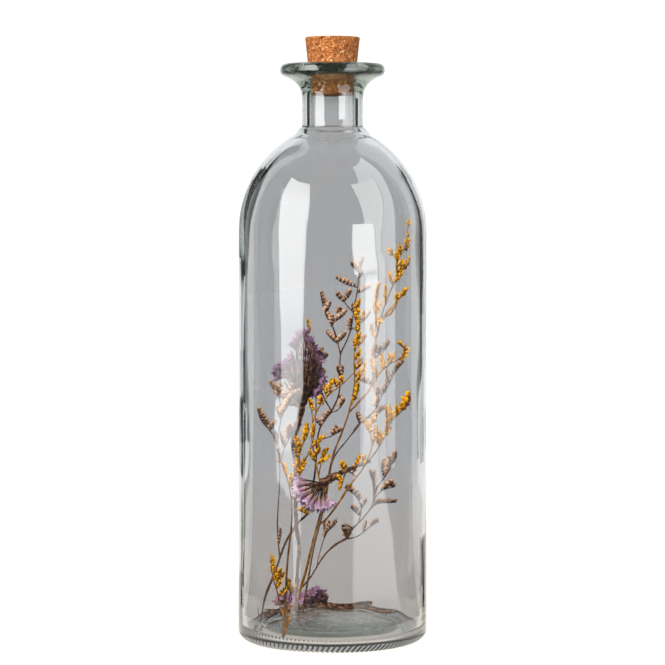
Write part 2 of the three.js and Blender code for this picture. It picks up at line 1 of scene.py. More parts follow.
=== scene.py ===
# %% [markdown]
# # Dried flowers in a corked glass bottle
#
# The object is a tall bottle of thick pressed glass. A cork stops its mouth, and inside it stand dried sea
# lavender, some of it dyed golden and some left beige, and a few heads of winged statice. This lesson
# dresses the plain solids of the bottle, the cork and the sprays with surfaces that look like the real
# thing, and keeps every one of them in its place. It begins with the frame, which holds those solids.

# %% Load the frame
import json
import math

import bpy
import numpy as np
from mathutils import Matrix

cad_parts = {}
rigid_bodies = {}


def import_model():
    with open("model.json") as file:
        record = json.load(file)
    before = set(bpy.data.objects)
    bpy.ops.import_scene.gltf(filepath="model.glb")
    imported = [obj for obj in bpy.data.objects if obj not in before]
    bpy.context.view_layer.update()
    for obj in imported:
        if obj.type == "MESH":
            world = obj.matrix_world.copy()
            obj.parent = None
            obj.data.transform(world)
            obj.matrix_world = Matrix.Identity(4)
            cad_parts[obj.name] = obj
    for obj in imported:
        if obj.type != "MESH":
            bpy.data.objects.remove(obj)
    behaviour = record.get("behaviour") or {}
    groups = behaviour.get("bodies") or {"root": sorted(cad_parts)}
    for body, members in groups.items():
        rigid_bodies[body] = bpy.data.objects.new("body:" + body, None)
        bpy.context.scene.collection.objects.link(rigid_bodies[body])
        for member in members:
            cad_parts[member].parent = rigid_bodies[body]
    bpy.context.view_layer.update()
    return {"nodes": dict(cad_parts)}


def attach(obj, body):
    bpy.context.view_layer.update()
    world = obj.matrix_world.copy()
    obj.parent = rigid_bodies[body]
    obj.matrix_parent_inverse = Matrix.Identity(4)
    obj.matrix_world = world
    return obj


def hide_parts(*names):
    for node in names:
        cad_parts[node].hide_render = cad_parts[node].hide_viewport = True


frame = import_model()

print("solids:", len(frame["nodes"]))

# %% [markdown]
# ## One unit and one set of helpers
#
# The drawing of the bottle is in millimetres, and Blender works in metres. All shapes below are worked out
# in millimetres as numpy arrays and are scaled once, when a mesh is made. Blender could draw the stems as
# curve objects and the glass with its Screw modifier. Arrays were chosen because the same two ideas, rings
# carried along a path and many copies of one small shape, then make the glass, the cork, the stems, the
# buds and the papery flowers alike.

# %% Units and directions
mm = 0.001
depth_axis = np.array([0.0, 1.0, 0.0])
golden_angle = math.radians(137.5)


def unit(vectors):
    """Each vector divided by its own length."""
    return vectors / np.maximum(np.linalg.norm(vectors, axis=-1, keepdims=True), 1e-9)


def sides_of(directions, guide=depth_axis):
    """Two side directions: the guide made square to each direction, and the one square to both."""
    along_guide = (directions @ np.asarray(guide, float))[..., None]
    first = unit(guide - along_guide * directions)
    return first, np.cross(directions, first)


# %% Smooth routes
def smooth_route(points, steps=8):
    """Steps points to each span of a smooth curve through the given points, and the last point.

    Each span is a cubic in t from 0 to 1. Its slope at a point is the change over the span before, less the
    change over both spans, plus the change over the span after, each divided by the square root of its
    straight length, times the root of this span's length. A mirrored point stands beyond each end.
    """
    given = np.asarray(points, float)
    knots = np.vstack([2 * given[0] - given[1], given, 2 * given[-1] - given[-2]])
    gaps = np.sqrt(np.linalg.norm(np.diff(knots, axis=0), axis=1))[:, None]
    before, here, after = gaps[:-2], gaps[1:-1], gaps[2:]
    a, b, c, d = knots[:-3], knots[1:-2], knots[2:-1], knots[3:]
    leaving = ((b - a) / before - (c - a) / (before + here)) * here + (c - b)
    arriving = ((d - c) / after - (d - b) / (here + after)) * here + (c - b)
    t = (np.arange(steps) / steps)[None, :, None]
    b, c, leaving, arriving = b[:, None], c[:, None], leaving[:, None], arriving[:, None]
    start_part = (2 * t**3 - 3 * t**2 + 1) * b + (t**3 - 2 * t**2 + t) * leaving
    end_part = (3 * t**2 - 2 * t**3) * c + (t**3 - t**2) * arriving
    return np.vstack([(start_part + end_part).reshape(-1, given.shape[1]), given[-1:]])


def length_of(curve):
    """The sum of the straight steps between a curve's points."""
    return np.linalg.norm(np.diff(curve, axis=0), axis=1).sum()


def at_shares(curve, shares):
    """The places, and the directions there, at shares of a curve's length."""
    steps = np.linalg.norm(np.diff(curve, axis=0), axis=1)
    travelled = np.concatenate([[0], np.cumsum(steps)]) / steps.sum()
    slopes = np.gradient(curve, travelled, axis=0)
    places = np.stack([np.interp(shares, travelled, column) for column in curve.T], axis=-1)
    directions = np.stack([np.interp(shares, travelled, column) for column in slopes.T], axis=-1)
    return places, unit(directions)


# %% Closed skins from rings
def closed_skins(rings, start, end):
    """Points, quads and triangles of skins, each a stack of rings with a pole at both ends.

    The rings' shape is (skins, rows, sides, 3). A ring runs anticlockwise about the way from start to end,
    so all faces look outwards.
    """
    skins, rows, sides = rings.shape[:3]
    points = np.concatenate([start[:, None], rings.reshape(skins, -1, 3), end[:, None]], axis=1)
    row, side = np.divmod(np.arange((rows - 1) * sides), sides)
    here = 1 + row * sides + side
    beside = 1 + row * sides + (side + 1) % sides
    quads = np.stack([here, beside, beside + sides, here + sides], axis=-1)
    around = 1 + np.arange(sides)
    next_around = 1 + (np.arange(sides) + 1) % sides
    last_row = (rows - 1) * sides
    first_fan = np.stack([np.zeros(sides, int), next_around, around], axis=-1)
    last_pole = np.full(sides, rows * sides + 1)
    last_fan = np.stack([last_pole, around + last_row, next_around + last_row], axis=-1)
    fans = np.concatenate([first_fan, last_fan])
    offsets = (np.arange(skins) * points.shape[1])[:, None, None]
    return points.reshape(-1, 3), (quads + offsets).reshape(-1, 4), (fans + offsets).reshape(-1, 3)


def rings_along(places, directions, reach, guide=depth_axis):
    """Rings round a path: place + reach * (cos turn * first side + sin turn * second side)."""
    first, second = sides_of(directions, guide)
    turns = np.linspace(0, 2 * np.pi, reach.shape[1], endpoint=False)[None, :, None]
    spokes = np.cos(turns) * first[:, None] + np.sin(turns) * second[:, None]
    return places[:, None] + reach[..., None] * spokes


# %% From skins to an object
def growth_values(count, kind, height, chance):
    """Three values for every point: what it belongs to, how far out it is from 0 to 1, and its chance."""
    values = np.empty((count, 3))
    values[:, 0], values[:, 1], values[:, 2] = kind, height, chance
    return values


def make_piece(name, skins, finish):
    """One smooth mesh object from skins of (points, quads, triangles, growth), scaled to metres."""
    counts = np.cumsum([0] + [len(skin[0]) for skin in skins])
    points = np.concatenate([skin[0] for skin in skins]) * mm
    quads = np.concatenate([skin[1] + count for skin, count in zip(skins, counts)])
    triangles = np.concatenate([skin[2] + count for skin, count in zip(skins, counts)])
    mesh = bpy.data.meshes.new(name)
    mesh.from_pydata(points.tolist(), [], quads.tolist() + triangles.tolist())
    growth = mesh.attributes.new("growth", "FLOAT_VECTOR", "POINT")
    growth.data.foreach_set("vector", np.concatenate([skin[3] for skin in skins]).ravel())
    mesh.shade_smooth()
    mesh.materials.append(finish)
    piece = bpy.data.objects.new(name, mesh)
    bpy.context.scene.collection.objects.link(piece)
    print(f"{name}: {2 * len(quads) + len(triangles)} triangles")
    return piece


def stand_for(piece, node):
    """The piece takes the place of one solid and moves with the bottle."""
    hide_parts(node)
    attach(piece, "root")


def whole_piece(name, node, skins, finish):
    """A piece from its skins, in the place of one solid."""
    piece = make_piece(name, skins, finish)
    stand_for(piece, node)
    return piece


# %% [markdown]
# ## Finishes
#
# A finish is a Principled shader with nodes that vary its colour, roughness and bump. The nodes read Object
# coordinates, which are metres here, so a pattern of 1 mm has a scale of about 1000. A small class keeps
# each finish short: it adds a node, sets its numbers and joins it to the next.

# %% A class for finishes
class Finish:
    """A node material with short calls to add nodes and to join them."""

    def __init__(self, name, **sockets):
        self.material = bpy.data.materials.new(name)
        self.material.use_nodes = True
        self.nodes = self.material.node_tree.nodes
        self.links = self.material.node_tree.links
        self.shader = self.nodes["Principled BSDF"]
        self.output = self.nodes["Material Output"]
        for socket, value in sockets.items():
            self.shader.inputs[socket.replace("_", " ")].default_value = value
        self.place = self.nodes.new("ShaderNodeTexCoord").outputs["Object"]

    def node(self, kind, inputs=None, **settings):
        """A new node with its settings, and its sockets set to a number or joined to another socket."""
        made = self.nodes.new(kind)
        for setting, value in settings.items():
            setattr(made, setting, value)
        for socket, value in (inputs or {}).items():
            if isinstance(value, bpy.types.NodeSocket):
                self.links.new(value, made.inputs[socket])
            else:
                made.inputs[socket].default_value = value
        return made

    def noise(self, scale, detail=2.0, distortion=0.0):
        """Noise from 0 to 1 on Object coordinates."""
        inputs = {"Vector": self.place, "Scale": scale, "Detail": detail, "Distortion": distortion}
        return self.node("ShaderNodeTexNoise", inputs).outputs["Fac"]

    def ramp(self, value, *stops):
        """Colours or greys blended along a value. Each stop is a place from 0 to 1 and a colour."""
        ramp = self.node("ShaderNodeValToRGB", {"Fac": value})
        for index, (at, colour) in enumerate(stops):
            stop = ramp.color_ramp.elements[index] if index < 2 else ramp.color_ramp.elements.new(at)
            stop.position = at
            stop.color = (*colour, 1) if len(colour) == 3 else (colour[0],) * 3 + (1,)
        return ramp.outputs["Color"]

    def math(self, operation, first, second):
        """One step of arithmetic on two values."""
        return self.node("ShaderNodeMath", {0: first, 1: second}, operation=operation).outputs[0]

    def product(self, first, *others):
        """The product of two or more values."""
        for other in others:
            first = self.math("MULTIPLY", first, other)
        return first

    def total(self, first, *others):
        """The sum of two or more values."""
        for other in others:
            first = self.math("ADD", first, other)
        return first

    def vector(self, operation, first, second):
        """One node that works on two vectors."""
        return self.node("ShaderNodeVectorMath", {0: first, 1: second}, operation=operation)

    def blend(self, amount, first, second, how="MIX"):
        """Two colours blended by an amount."""
        inputs = {"Factor": amount, "A": first, "B": second}
        mix = self.nodes.new("ShaderNodeMix")
        mix.data_type = "RGBA"
        mix.blend_type = how
        for name, value in inputs.items():
            socket = [s for s in mix.inputs if s.name == name and s.enabled][0]
            if isinstance(value, bpy.types.NodeSocket):
                self.links.new(value, socket)
            else:
                socket.default_value = value
        return [s for s in mix.outputs if s.enabled][0]

    def bump(self, height, distance):
        """The surface's normal tilted by a height, whose full step is a distance in millimetres."""
        inputs = {"Height": height, "Distance": distance * mm, "Strength": 1.0}
        return self.node("ShaderNodeBump", inputs).outputs["Normal"]

    def paint(self, **sockets):
        """Joins values to the shader's sockets."""
        for socket, value in sockets.items():
            self.links.new(value, self.shader.inputs[socket.replace("_", " ")])


def rgb(red, green, blue):
    """A colour as it looks on a screen, from 0 to 255, as the light values that a shader takes."""
    screen = np.array([red, green, blue]) / 255
    return tuple(np.where(screen <= 0.04045, screen / 12.92, ((screen + 0.055) / 1.055) ** 2.4).tolist())


# %% [markdown]
# ## The bottle
#
# The bottle was blown into a mould, so it is round, its wall is about 4 mm thick, and the inside is less
# even than the outside: it waves slowly where the hot glass flowed. The heel carries short slanted ridges
# that keep the hot bottle off the belt. The profile runs once round the section, from the middle of the
# underside, up the outside, over the lip, down the bore and the inner wall to the top of the kick-up. It is
# turned by numpy instead of the Screw modifier, because the waves and ridges are then part of one formula.

# %% The bottle's section
foot_radius = 47.8
shoulder_radius = 47.4
heel_radius = 5.4
shoulder_start = 206.6
shoulder_arc_radius = 54.8
wall_thickness = 4.3
floor_height = 4.6
corner_radius = 4.0
kick_up_height = 10.6
shoulder_arc_centre = shoulder_radius - shoulder_arc_radius
inside_radius = shoulder_radius - wall_thickness


def arc(centre, radius, first, last, steps):
    """Points at a radius from a centre, over angles in degrees from the outward direction."""
    turns = np.radians(np.linspace(first, last, steps))
    return np.column_stack([centre[0] + radius * np.cos(turns), centre[1] + radius * np.sin(turns)])


def straight(first, last, steps):
    """Even points on the line between two, both ends left out."""
    return np.linspace(first, last, steps + 2)[1:-1]


def bottle_section():
    """Distances from the axis and heights, once round the glass."""
    shoulder_centre = (shoulder_arc_centre, shoulder_start)
    inside_arc_radius = shoulder_arc_radius - wall_thickness
    corner_centre = (inside_radius - corner_radius, floor_height + corner_radius)
    underside = smooth_route([(0, 5.6), (20, 4.9), (32, 2.8), (38.5, 0.15)], 3)
    heel = arc((foot_radius - heel_radius, heel_radius), heel_radius, -90, 0, 17)
    above_heel = np.array([(foot_radius, 5.9), (foot_radius, 6.6)])
    outside = straight((foot_radius, 7), (shoulder_radius, shoulder_start), 12)
    shoulder = arc(shoulder_centre, shoulder_arc_radius, 0, 57, 20)
    neck = smooth_route([
        (20.9, 253.6), (18.9, 254.9), (18.0, 256.1), (17.1, 257.3), (15.9, 258.1), (15.4, 259.6),
        (15.4, 266), (15.4, 273.5), (16.2, 277.3), (18.2, 280.3), (21.4, 282.5), (24.4, 283.9),
        (25.9, 285.2), (26.2, 286.9), (25.7, 288.9), (24.1, 290), (21.8, 290.1), (18, 289), (14.6, 287.6),
        (12.6, 286.1), (11.9, 284.2), (11.7, 278), (11.6, 264), (11.7, 258.4), (12.9, 254.4),
    ], 2)
    inside_shoulder = arc(shoulder_centre, inside_arc_radius, 64, 0, 18)
    inside = straight((inside_radius, shoulder_start), (inside_radius, corner_centre[1]), 24)
    corner = arc(corner_centre, corner_radius, 0, -80, 8)
    kick_up = smooth_route([(37.4, 4.75), (34, 5.4), (30, 7.3), (22, 9.1), (12, 10.1),
                            (0, kick_up_height)], 8)
    return np.vstack([underside, heel, above_heel, outside, shoulder, neck, inside_shoulder, inside,
                      corner, kick_up])


section = bottle_section()
print("section points:", len(section), "height:", section[:, 1].max())


# %% Ridges and waves of the glass
bottle_sides = 480
heel_ridges = 112
ridge_depth = 0.75
ridge_slant = 1.5
groove_depth = 0.3
inner_wave = 0.16
inner_swell = 1.2
outer_wave = 0.03
lip_wave = 0.12
stipple_depth = 0.02
ring_depth = 0.03
ring_pitch = 3.8
inside_floor_top = 12


def near(values, low, high, soft):
    """1 between low and high, falling smoothly to 0 over a soft distance outside them."""
    rise = np.clip((values - low) / soft + 1, 0, 1)
    fall = np.clip((high - values) / soft + 1, 0, 1)
    return (3 * rise**2 - 2 * rise**3) * (3 * fall**2 - 2 * fall**3)


def slow_waves(turns, heights, count, seed, around, upwards):
    """A sum of waves, each the cosine of a whole number of turns round plus a slope with the height."""
    draw = np.random.default_rng(seed)
    total = np.zeros(np.broadcast(turns, heights).shape)
    for _ in range(count):
        round_part = draw.integers(*around) * turns
        total += np.cos(round_part + draw.uniform(*upwards) * heights + draw.uniform(0, 6.3))
    return total / math.sqrt(count)


def bottle_skin():
    """The section turned and then moved by waves, ridges, a groove, rings and a stipple.

    The ridges and the groove are pressed in towards the middle of the heel's rounding. The waves of each
    wall move its distance from the axis. So does a swell of the inner wall, outwards low down and inwards at
    the shoulder. The rings and the stipple move the height of the floor.
    """
    turns = np.linspace(0, 2 * np.pi, bottle_sides, endpoint=False)[None, :]
    radii = np.repeat(section[1:-1, :1], bottle_sides, axis=1)
    heights = np.repeat(section[1:-1, 1:], bottle_sides, axis=1)
    is_inside = (np.arange(len(section) - 2) > np.argmax(section[:, 1]))[:, None]
    inner = slow_waves(turns, heights, 9, 3, (4, 15), (-0.1, 0.1)) * near(heights, 30, 235, 25)
    inner *= is_inside * inner_wave * (0.6 + 0.9 * near(heights, 0, 90, 60))
    inner += is_inside * inner_swell * near(heights, 34, 110, 24)
    inner -= is_inside * inner_swell * near(heights, 205, 222, 28) * (0.8 - 0.4 * np.cos(turns))
    outer = slow_waves(turns, heights, 5, 8, (2, 7), (-0.05, 0.05)) * near(heights, 20, 235, 15)
    outer *= ~is_inside * outer_wave
    lip = slow_waves(turns, heights * 0, 4, 11, (1, 5), (0, 1)) * near(heights, 285, 295, 3) * lip_wave
    ridges = 0.5 - 0.5 * np.cos(heel_ridges * turns - ridge_slant * heights)
    pressed = ridge_depth * ridges * near(heights, -1, 3.2, 1.0)
    pressed += groove_depth * near(heights, 4.4, 4.9, 0.5)
    pressed *= ~is_inside * near(radii, 43.5, 50, 3) / heel_radius
    stipple = slow_waves(turns, radii * 6, 12, 5, (20, 60), (0.15, 0.35)) * near(radii, 8, 33, 5)
    floor_rings = np.cos(2 * np.pi * radii / ring_pitch) * near(radii, 14, 36, 4)
    floor_waves = stipple_depth * stipple + ring_depth * floor_rings
    new_radii = radii + inner - np.abs(outer) - np.abs(lip) - pressed * (radii - foot_radius + heel_radius)
    raised = pressed * np.maximum(heel_radius - heights, 0)
    heights = heights + is_inside * (heights < inside_floor_top) * floor_waves + raised
    rings = np.stack([new_radii * np.cos(turns), new_radii * np.sin(turns), heights], axis=-1)[None]
    start, end = np.array([[0, 0, section[0, 1]]]), np.array([[0, 0, section[-1, 1]]])
    points, quads, triangles = closed_skins(rings, start, end)
    marks = growth_values(len(points), 0, 0, 0)
    # The marks say where the glass finish paints: the groove (painted shade), the heel (painted highlights
    # and shade) and the floor.
    marks[1:-1, 0] = (~is_inside * near(heights, 4.3, 5.3, 0.3) * (radii > 46)).ravel()
    marks[1:-1, 1] = (~is_inside * near(heights, -1, 3.9, 0.6) * near(radii, 43, 50, 2)).ravel()
    marks[1:-1, 2] = ((heights < inside_floor_top) * near(radii, -1, 34, 4)).ravel()
    return points, quads, triangles, marks


# %% [markdown]
# ## The glass
#
# The glass is a smoky grey with a breath of green at the mouth and the heel. Real tinted glass takes its
# colour from its depth. Here a small part of the tint is absorption in that depth, and the rest sits in the
# shader's base colour, because depth alone would make the heel nearly black. The base colour is greener and
# darker at the flared mouth.
#
# Pressed ridges scatter light, so on the heel the shader lets less light through and shows a painted colour
# instead: painted highlights on the crests and painted shade between them. The groove above them is painted
# nearly black, as painted shade. The floor has soft marbling and one ragged frosted patch, painted white as
# a painted highlight. All of this reads the marks that the skin carries.

# %% The glass finish
tint_density = 16.0
# How much clear glass gives way to painted colour: painted highlights and shade on the heel, a painted
# highlight in the patch, painted shade in the groove.
heel_cloud = 0.6
patch_cloud = 0.42
groove_cloud = 0.9
patch_roughness = 0.35
lip_roughness = 0.18
patch_centre = (0.009, 0.0, 0.008)
patch_stretch = (60, 90, 0)


def glass_finish():
    """Clear glass with a green-grey tint, and with ridges, a groove, a patch and a lip from its marks, where
    the ridges carry painted highlights and shade, the groove painted shade and the patch a painted
    highlight.
    """
    glass = Finish("smoky glass", Roughness=0.0, IOR=1.5, Transmission_Weight=1.0)
    inputs = {"Color": (*rgb(150, 178, 158), 1), "Density": tint_density}
    depth = glass.node("ShaderNodeVolumeAbsorption", inputs)
    glass.links.new(depth.outputs[0], glass.output.inputs["Volume"])
    marks = glass.node("ShaderNodeAttribute", attribute_name="growth").outputs["Vector"]
    in_groove, on_heel, on_floor = glass.node("ShaderNodeSeparateXYZ", {"Vector": marks}).outputs
    x, y, z = glass.node("ShaderNodeSeparateXYZ", {"Vector": glass.place}).outputs
    turned = glass.product(glass.math("ARCTAN2", y, x), heel_ridges)
    phase = glass.math("SUBTRACT", turned, glass.product(z, ridge_slant / mm))
    crest = glass.total(glass.product(glass.math("COSINE", phase, 0.0), 0.5), 0.5)
    # Painted highlight and shade: the ridges' crests are painted pale and the hollows between them dark.
    painted_ridge_light_and_shade = glass.ramp(crest, (0.0, rgb(26, 36, 34)), (0.26, rgb(70, 80, 76)), (0.46, rgb(252, 252, 250)))
    on_lip = glass.ramp(z, (0.281, (0.0,)), (0.285, (1.0,)))
    on_flare = glass.ramp(z, (0.268, (0.0,)), (0.276, (0.6,)), (0.284, (1.0,)))
    tint = glass.blend(on_floor, (*rgb(209, 209, 211), 1), (*rgb(214, 216, 206), 1))
    tint = glass.blend(on_flare, tint, (*rgb(148, 162, 148), 1))
    tint = glass.blend(on_heel, tint, painted_ridge_light_and_shade)
    # Painted shade: the groove is painted nearly black.
    tint = glass.blend(in_groove, tint, (*rgb(12, 20, 19), 1))
    ridges = glass.product(crest, on_heel, 6.0)
    away = glass.vector("SUBTRACT", glass.place, patch_centre).outputs["Vector"]
    away = glass.vector("MULTIPLY", away, patch_stretch).outputs["Vector"]
    far = glass.vector("LENGTH", away, (0, 0, 0)).outputs["Value"]
    ragged = glass.total(far, glass.product(glass.noise(240, 4.0), 1.6))
    frost_and_painted_highlight = glass.ramp(glass.product(ragged, 0.5), (0.72, (1.0,)), (0.8, (0.0,)))
    frost_and_painted_highlight = glass.product(frost_and_painted_highlight, on_floor)
    # Painted highlight: the ragged patch is painted white. Its roughness and stipple are the real frost.
    tint = glass.blend(frost_and_painted_highlight, tint, (1, 1, 1, 1))
    clouded = glass.product(on_heel, heel_cloud)
    clouded = glass.math("MAXIMUM", clouded, glass.product(frost_and_painted_highlight, patch_cloud))
    clouded = glass.math("MAXIMUM", clouded, glass.product(in_groove, groove_cloud))
    glass.paint(Transmission_Weight=glass.math("SUBTRACT", 1.0, clouded))
    stipple = glass.product(glass.noise(750, 3.0), frost_and_painted_highlight, 2.0)
    marbling = glass.product(glass.noise(75, 2.0, 0.8), 2.6)
    floor_marks = glass.product(glass.total(stipple, marbling), on_floor)
    ripples = glass.product(glass.noise(190, 2.0, 0.6), on_lip, 8.0)
    streaks = glass.noise(28, 2.0, 0.4)
    grain = glass.product(glass.noise(900, 2.0), 0.06)
    height = glass.total(streaks, ripples, grain, ridges, floor_marks)
    glass.paint(Normal=glass.bump(height, 0.055), Base_Color=tint)
    rough = glass.total(glass.product(frost_and_painted_highlight, patch_roughness), glass.product(on_lip, lip_roughness))
    haze = glass.ramp(glass.noise(60, 3.0), (0.35, (0.0,)), (0.9, (0.012,)))
    glass.paint(Roughness=glass.total(rough, haze))
    return glass.material


bottle = whole_piece("glass_bottle", "bottle", [bottle_skin()], glass_finish())

# %% [markdown]
# ## The cork
#
# The stopper is pressed from cork crumb, so it shows grains of 1 to 3 mm in several browns with dark gaps
# between them, small pits on its skin and a few pale chips. Its shape is a tapered plug whose surface dips
# at the pits. The grains could be modelled, but they are flush with the surface, so they are colour and
# bump, from Voronoi cells.

# %% The cork's shape
cork_top, cork_bottom = 303.4, 274.8
cork_top_radius, cork_bottom_radius = 13.7, 10.8
cork_bevel = 0.7
cork_sides = 160


def cork_skin():
    """A tapered plug: side distances are linear in the height, and steep peaks of waves make pits."""
    foot, head = (cork_bottom_radius, cork_bottom + cork_bevel), (cork_top_radius, cork_top - cork_bevel)
    side = straight(foot, head, 44)
    low_edge = arc((cork_bottom_radius - cork_bevel, cork_bottom + cork_bevel), cork_bevel, -90, 0, 5)
    high_edge = arc((cork_top_radius - cork_bevel, cork_top - cork_bevel), cork_bevel, 0, 90, 5)
    under = straight((0, cork_bottom), (cork_bottom_radius - cork_bevel, cork_bottom), 12)
    over = straight((cork_top_radius - cork_bevel, cork_top), (0, cork_top), 16)
    outline = np.vstack([under, low_edge, side, high_edge, over])
    turns = np.linspace(0, 2 * np.pi, cork_sides, endpoint=False)[None, :]
    radii = np.repeat(outline[:, :1], cork_sides, axis=1)
    heights = np.repeat(outline[:, 1:], cork_sides, axis=1)
    coarse = slow_waves(turns, heights, 14, 21, (8, 40), (-1.8, 1.8))
    fine = slow_waves(turns, heights, 14, 22, (20, 60), (-3.2, 3.2))
    pits = np.clip(coarse + 0.6 * fine - 1.2, 0, 1) * 0.45 + 0.03 * np.abs(fine)
    top_pits = slow_waves(turns, radii * 3, 14, 23, (3, 24), (-1.2, 1.2))
    radii = radii - pits * (radii > 4)
    heights = heights - np.clip(top_pits - 0.8, 0, 1) * 0.4 * (heights > cork_top - 0.2)
    rings = np.stack([radii * np.cos(turns), radii * np.sin(turns), heights], axis=-1)[None]
    start, end = np.array([[0, 0, cork_bottom]]), np.array([[0, 0, cork_top]])
    points, quads, triangles = closed_skins(rings, start, end)
    return points, quads, triangles, growth_values(len(points), 0, 0, 0)


# %% The cork's finish
grain_scale = 560.0


def cork_finish():
    """Grains in several browns with dark gaps, darker and paler specks, and a dull skin."""
    cork = Finish("cork crumb", Roughness=0.85, Specular_IOR_Level=0.25)
    warp = cork.node("ShaderNodeTexNoise", {"Vector": cork.place, "Scale": 900.0, "Detail": 2.0})
    bent = cork.vector("MULTIPLY", warp.outputs["Color"], (0.001, 0.001, 0.001)).outputs["Vector"]
    place = cork.vector("ADD", cork.place, bent).outputs["Vector"]
    inputs = {"Vector": place, "Scale": grain_scale}
    grains = cork.node("ShaderNodeTexVoronoi", inputs)
    gaps = cork.node("ShaderNodeTexVoronoi", inputs, feature="DISTANCE_TO_EDGE")
    shade = cork.node("ShaderNodeSeparateColor", {"Color": grains.outputs["Color"]})
    colour = cork.ramp(shade.outputs["Red"], (0.0, rgb(150, 96, 54)), (0.35, rgb(184, 124, 76)),
                       (0.8, rgb(204, 146, 96)), (0.965, rgb(212, 158, 108)), (0.98, rgb(240, 206, 164)))
    mottle = cork.ramp(cork.noise(1700, 5.0), (0.36, rgb(92, 52, 30)), (0.5, rgb(205, 172, 140)),
                       (0.64, rgb(255, 246, 228)))
    colour = cork.blend(0.85, colour, mottle, "MULTIPLY")
    crack = cork.ramp(gaps.outputs["Distance"], (0.0, (0.0,)), (0.045, (1.0,)))
    colour = cork.blend(crack, (*rgb(118, 64, 30), 1), colour)
    specks = cork.ramp(cork.noise(1000, 3.0), (0.6, (0.0,)), (0.66, (1.0,)))
    colour = cork.blend(specks, colour, (*rgb(84, 42, 18), 1))
    cork.paint(Base_Color=colour)
    height = cork.math("SUBTRACT", cork.total(crack, cork.noise(2200, 4.0)), specks)
    cork.paint(Normal=cork.bump(height, 0.28))
    cork.paint(Roughness=cork.ramp(cork.noise(800), (0.3, (0.7,)), (0.8, (0.95,))))
    return cork.material


whole_piece("cork_stopper", "cork", [cork_skin()], cork_finish())

# %% [markdown]
# ## Sea lavender: stems, combs and buds
#
# A dried spray is a thin branching stem. Near its tips it carries short side twigs, and along the upper
# side of each twig stand small papery buds, close together like the teeth of a comb. A particle system could
# scatter the buds, but the export drops particles and the buds stand in strict ranks anyway. So a comb is
# worked out as arrays: a slightly sagging axis, and one copy of a bud shape at each step along it.
#
# A branch is written down as its route, its thickness at the root and the tip, the length of the comb that
# ends it, and its side combs. Each side comb is a share of the route's length, a lean in degrees from
# upright as seen from the front, to the right if positive, and a length.

# %% The two kinds of bud
stem_kind, bud_kind = 0, 1
beige_bud = dict(
    outline=[(0.0, 0.4), (0.2, 0.78), (0.5, 1.0), (0.8, 1.0), (0.97, 0.72)],
    crown=0.86, width=0.68, length=2.9, pitch=1.62, ranks=(-0.3, 0.28), jitter=0.05, comb=10.5,
    lean=(0.25, 0.85), sides=8,
)
golden_bud = dict(
    outline=[(0.0, 0.45), (0.35, 0.9), (0.7, 1.0), (0.93, 0.55)],
    crown=1.0, width=0.5, length=2.5, pitch=1.3, ranks=(-1.5, -0.5, 0.45, 1.4), jitter=0.14, comb=9.5,
    lean=(0.6, 1.05), sides=6,
)


def copies(outline, crown, sides, origins, along, first, width, length, chance, pleats=0, depth=0.0):
    """Copies of one small turned shape, each with its own place, direction, size and chance.

    A ring's place is origin + length * height * along, and its reach is width * share. Pleats make both the
    reach and the height wave round the ring, more so towards the rim.
    """
    heights, shares = np.array(outline, float).T
    turns = np.linspace(0, 2 * np.pi, sides, endpoint=False)[None, :]
    wave = np.zeros((len(heights), sides))
    if pleats:
        wave = np.cos(pleats * turns) * depth * heights[:, None] ** 2
    reach = shares[:, None] * (1 + wave)
    lifted = heights[:, None] + 0.5 * wave
    second = np.cross(along, first)
    spokes = np.cos(turns)[..., None] * first[:, None, None]
    spokes = spokes + np.sin(turns)[..., None] * second[:, None, None]
    sizes = width[:, None, None, None] * reach[None, ..., None]
    rise = length[:, None, None, None] * lifted[None, ..., None] * along[:, None, None]
    rings = origins[:, None, None] + spokes * sizes + rise
    start = origins - 0.02 * length[:, None] * along
    end = origins + crown * length[:, None] * along
    points, quads, triangles = closed_skins(rings, start, end)
    out = np.concatenate([[0], np.repeat(heights, sides), [crown]])
    growth = growth_values(len(points), bud_kind, np.tile(out, len(origins)), np.repeat(chance, len(out)))
    return points, quads, triangles, growth


# %% One stem
stem_share = 0.8
stem_step = 0.9


def stem_skin(curve, girth, seed, sides=8):
    """A thin stem: its reach falls evenly from root to tip, with slight ridges and unevenness."""
    draw = np.random.default_rng(seed)
    rows = max(6, int(length_of(curve) / stem_step))
    shares = np.linspace(0, 1, rows)
    places, directions = at_shares(curve, shares)
    reach = np.interp(shares, [0, 1], girth)[:, None] * (1 + 0.07 * draw.standard_normal((rows, 1)))
    turns = np.linspace(0, 2 * np.pi, sides, endpoint=False)[None, :]
    reach = reach * (1 + 0.1 * np.cos(3 * turns + 9 * shares[:, None]))
    rings = rings_along(places, directions, reach)[None]
    ends = places[:1] - 0.2 * directions[:1], places[-1:] + 0.2 * directions[-1:]
    points, quads, triangles = closed_skins(rings, *ends)
    height = np.concatenate([[0], np.repeat(shares, sides), [1]])
    return points, quads, triangles, growth_values(len(points), stem_kind, height, draw.random())


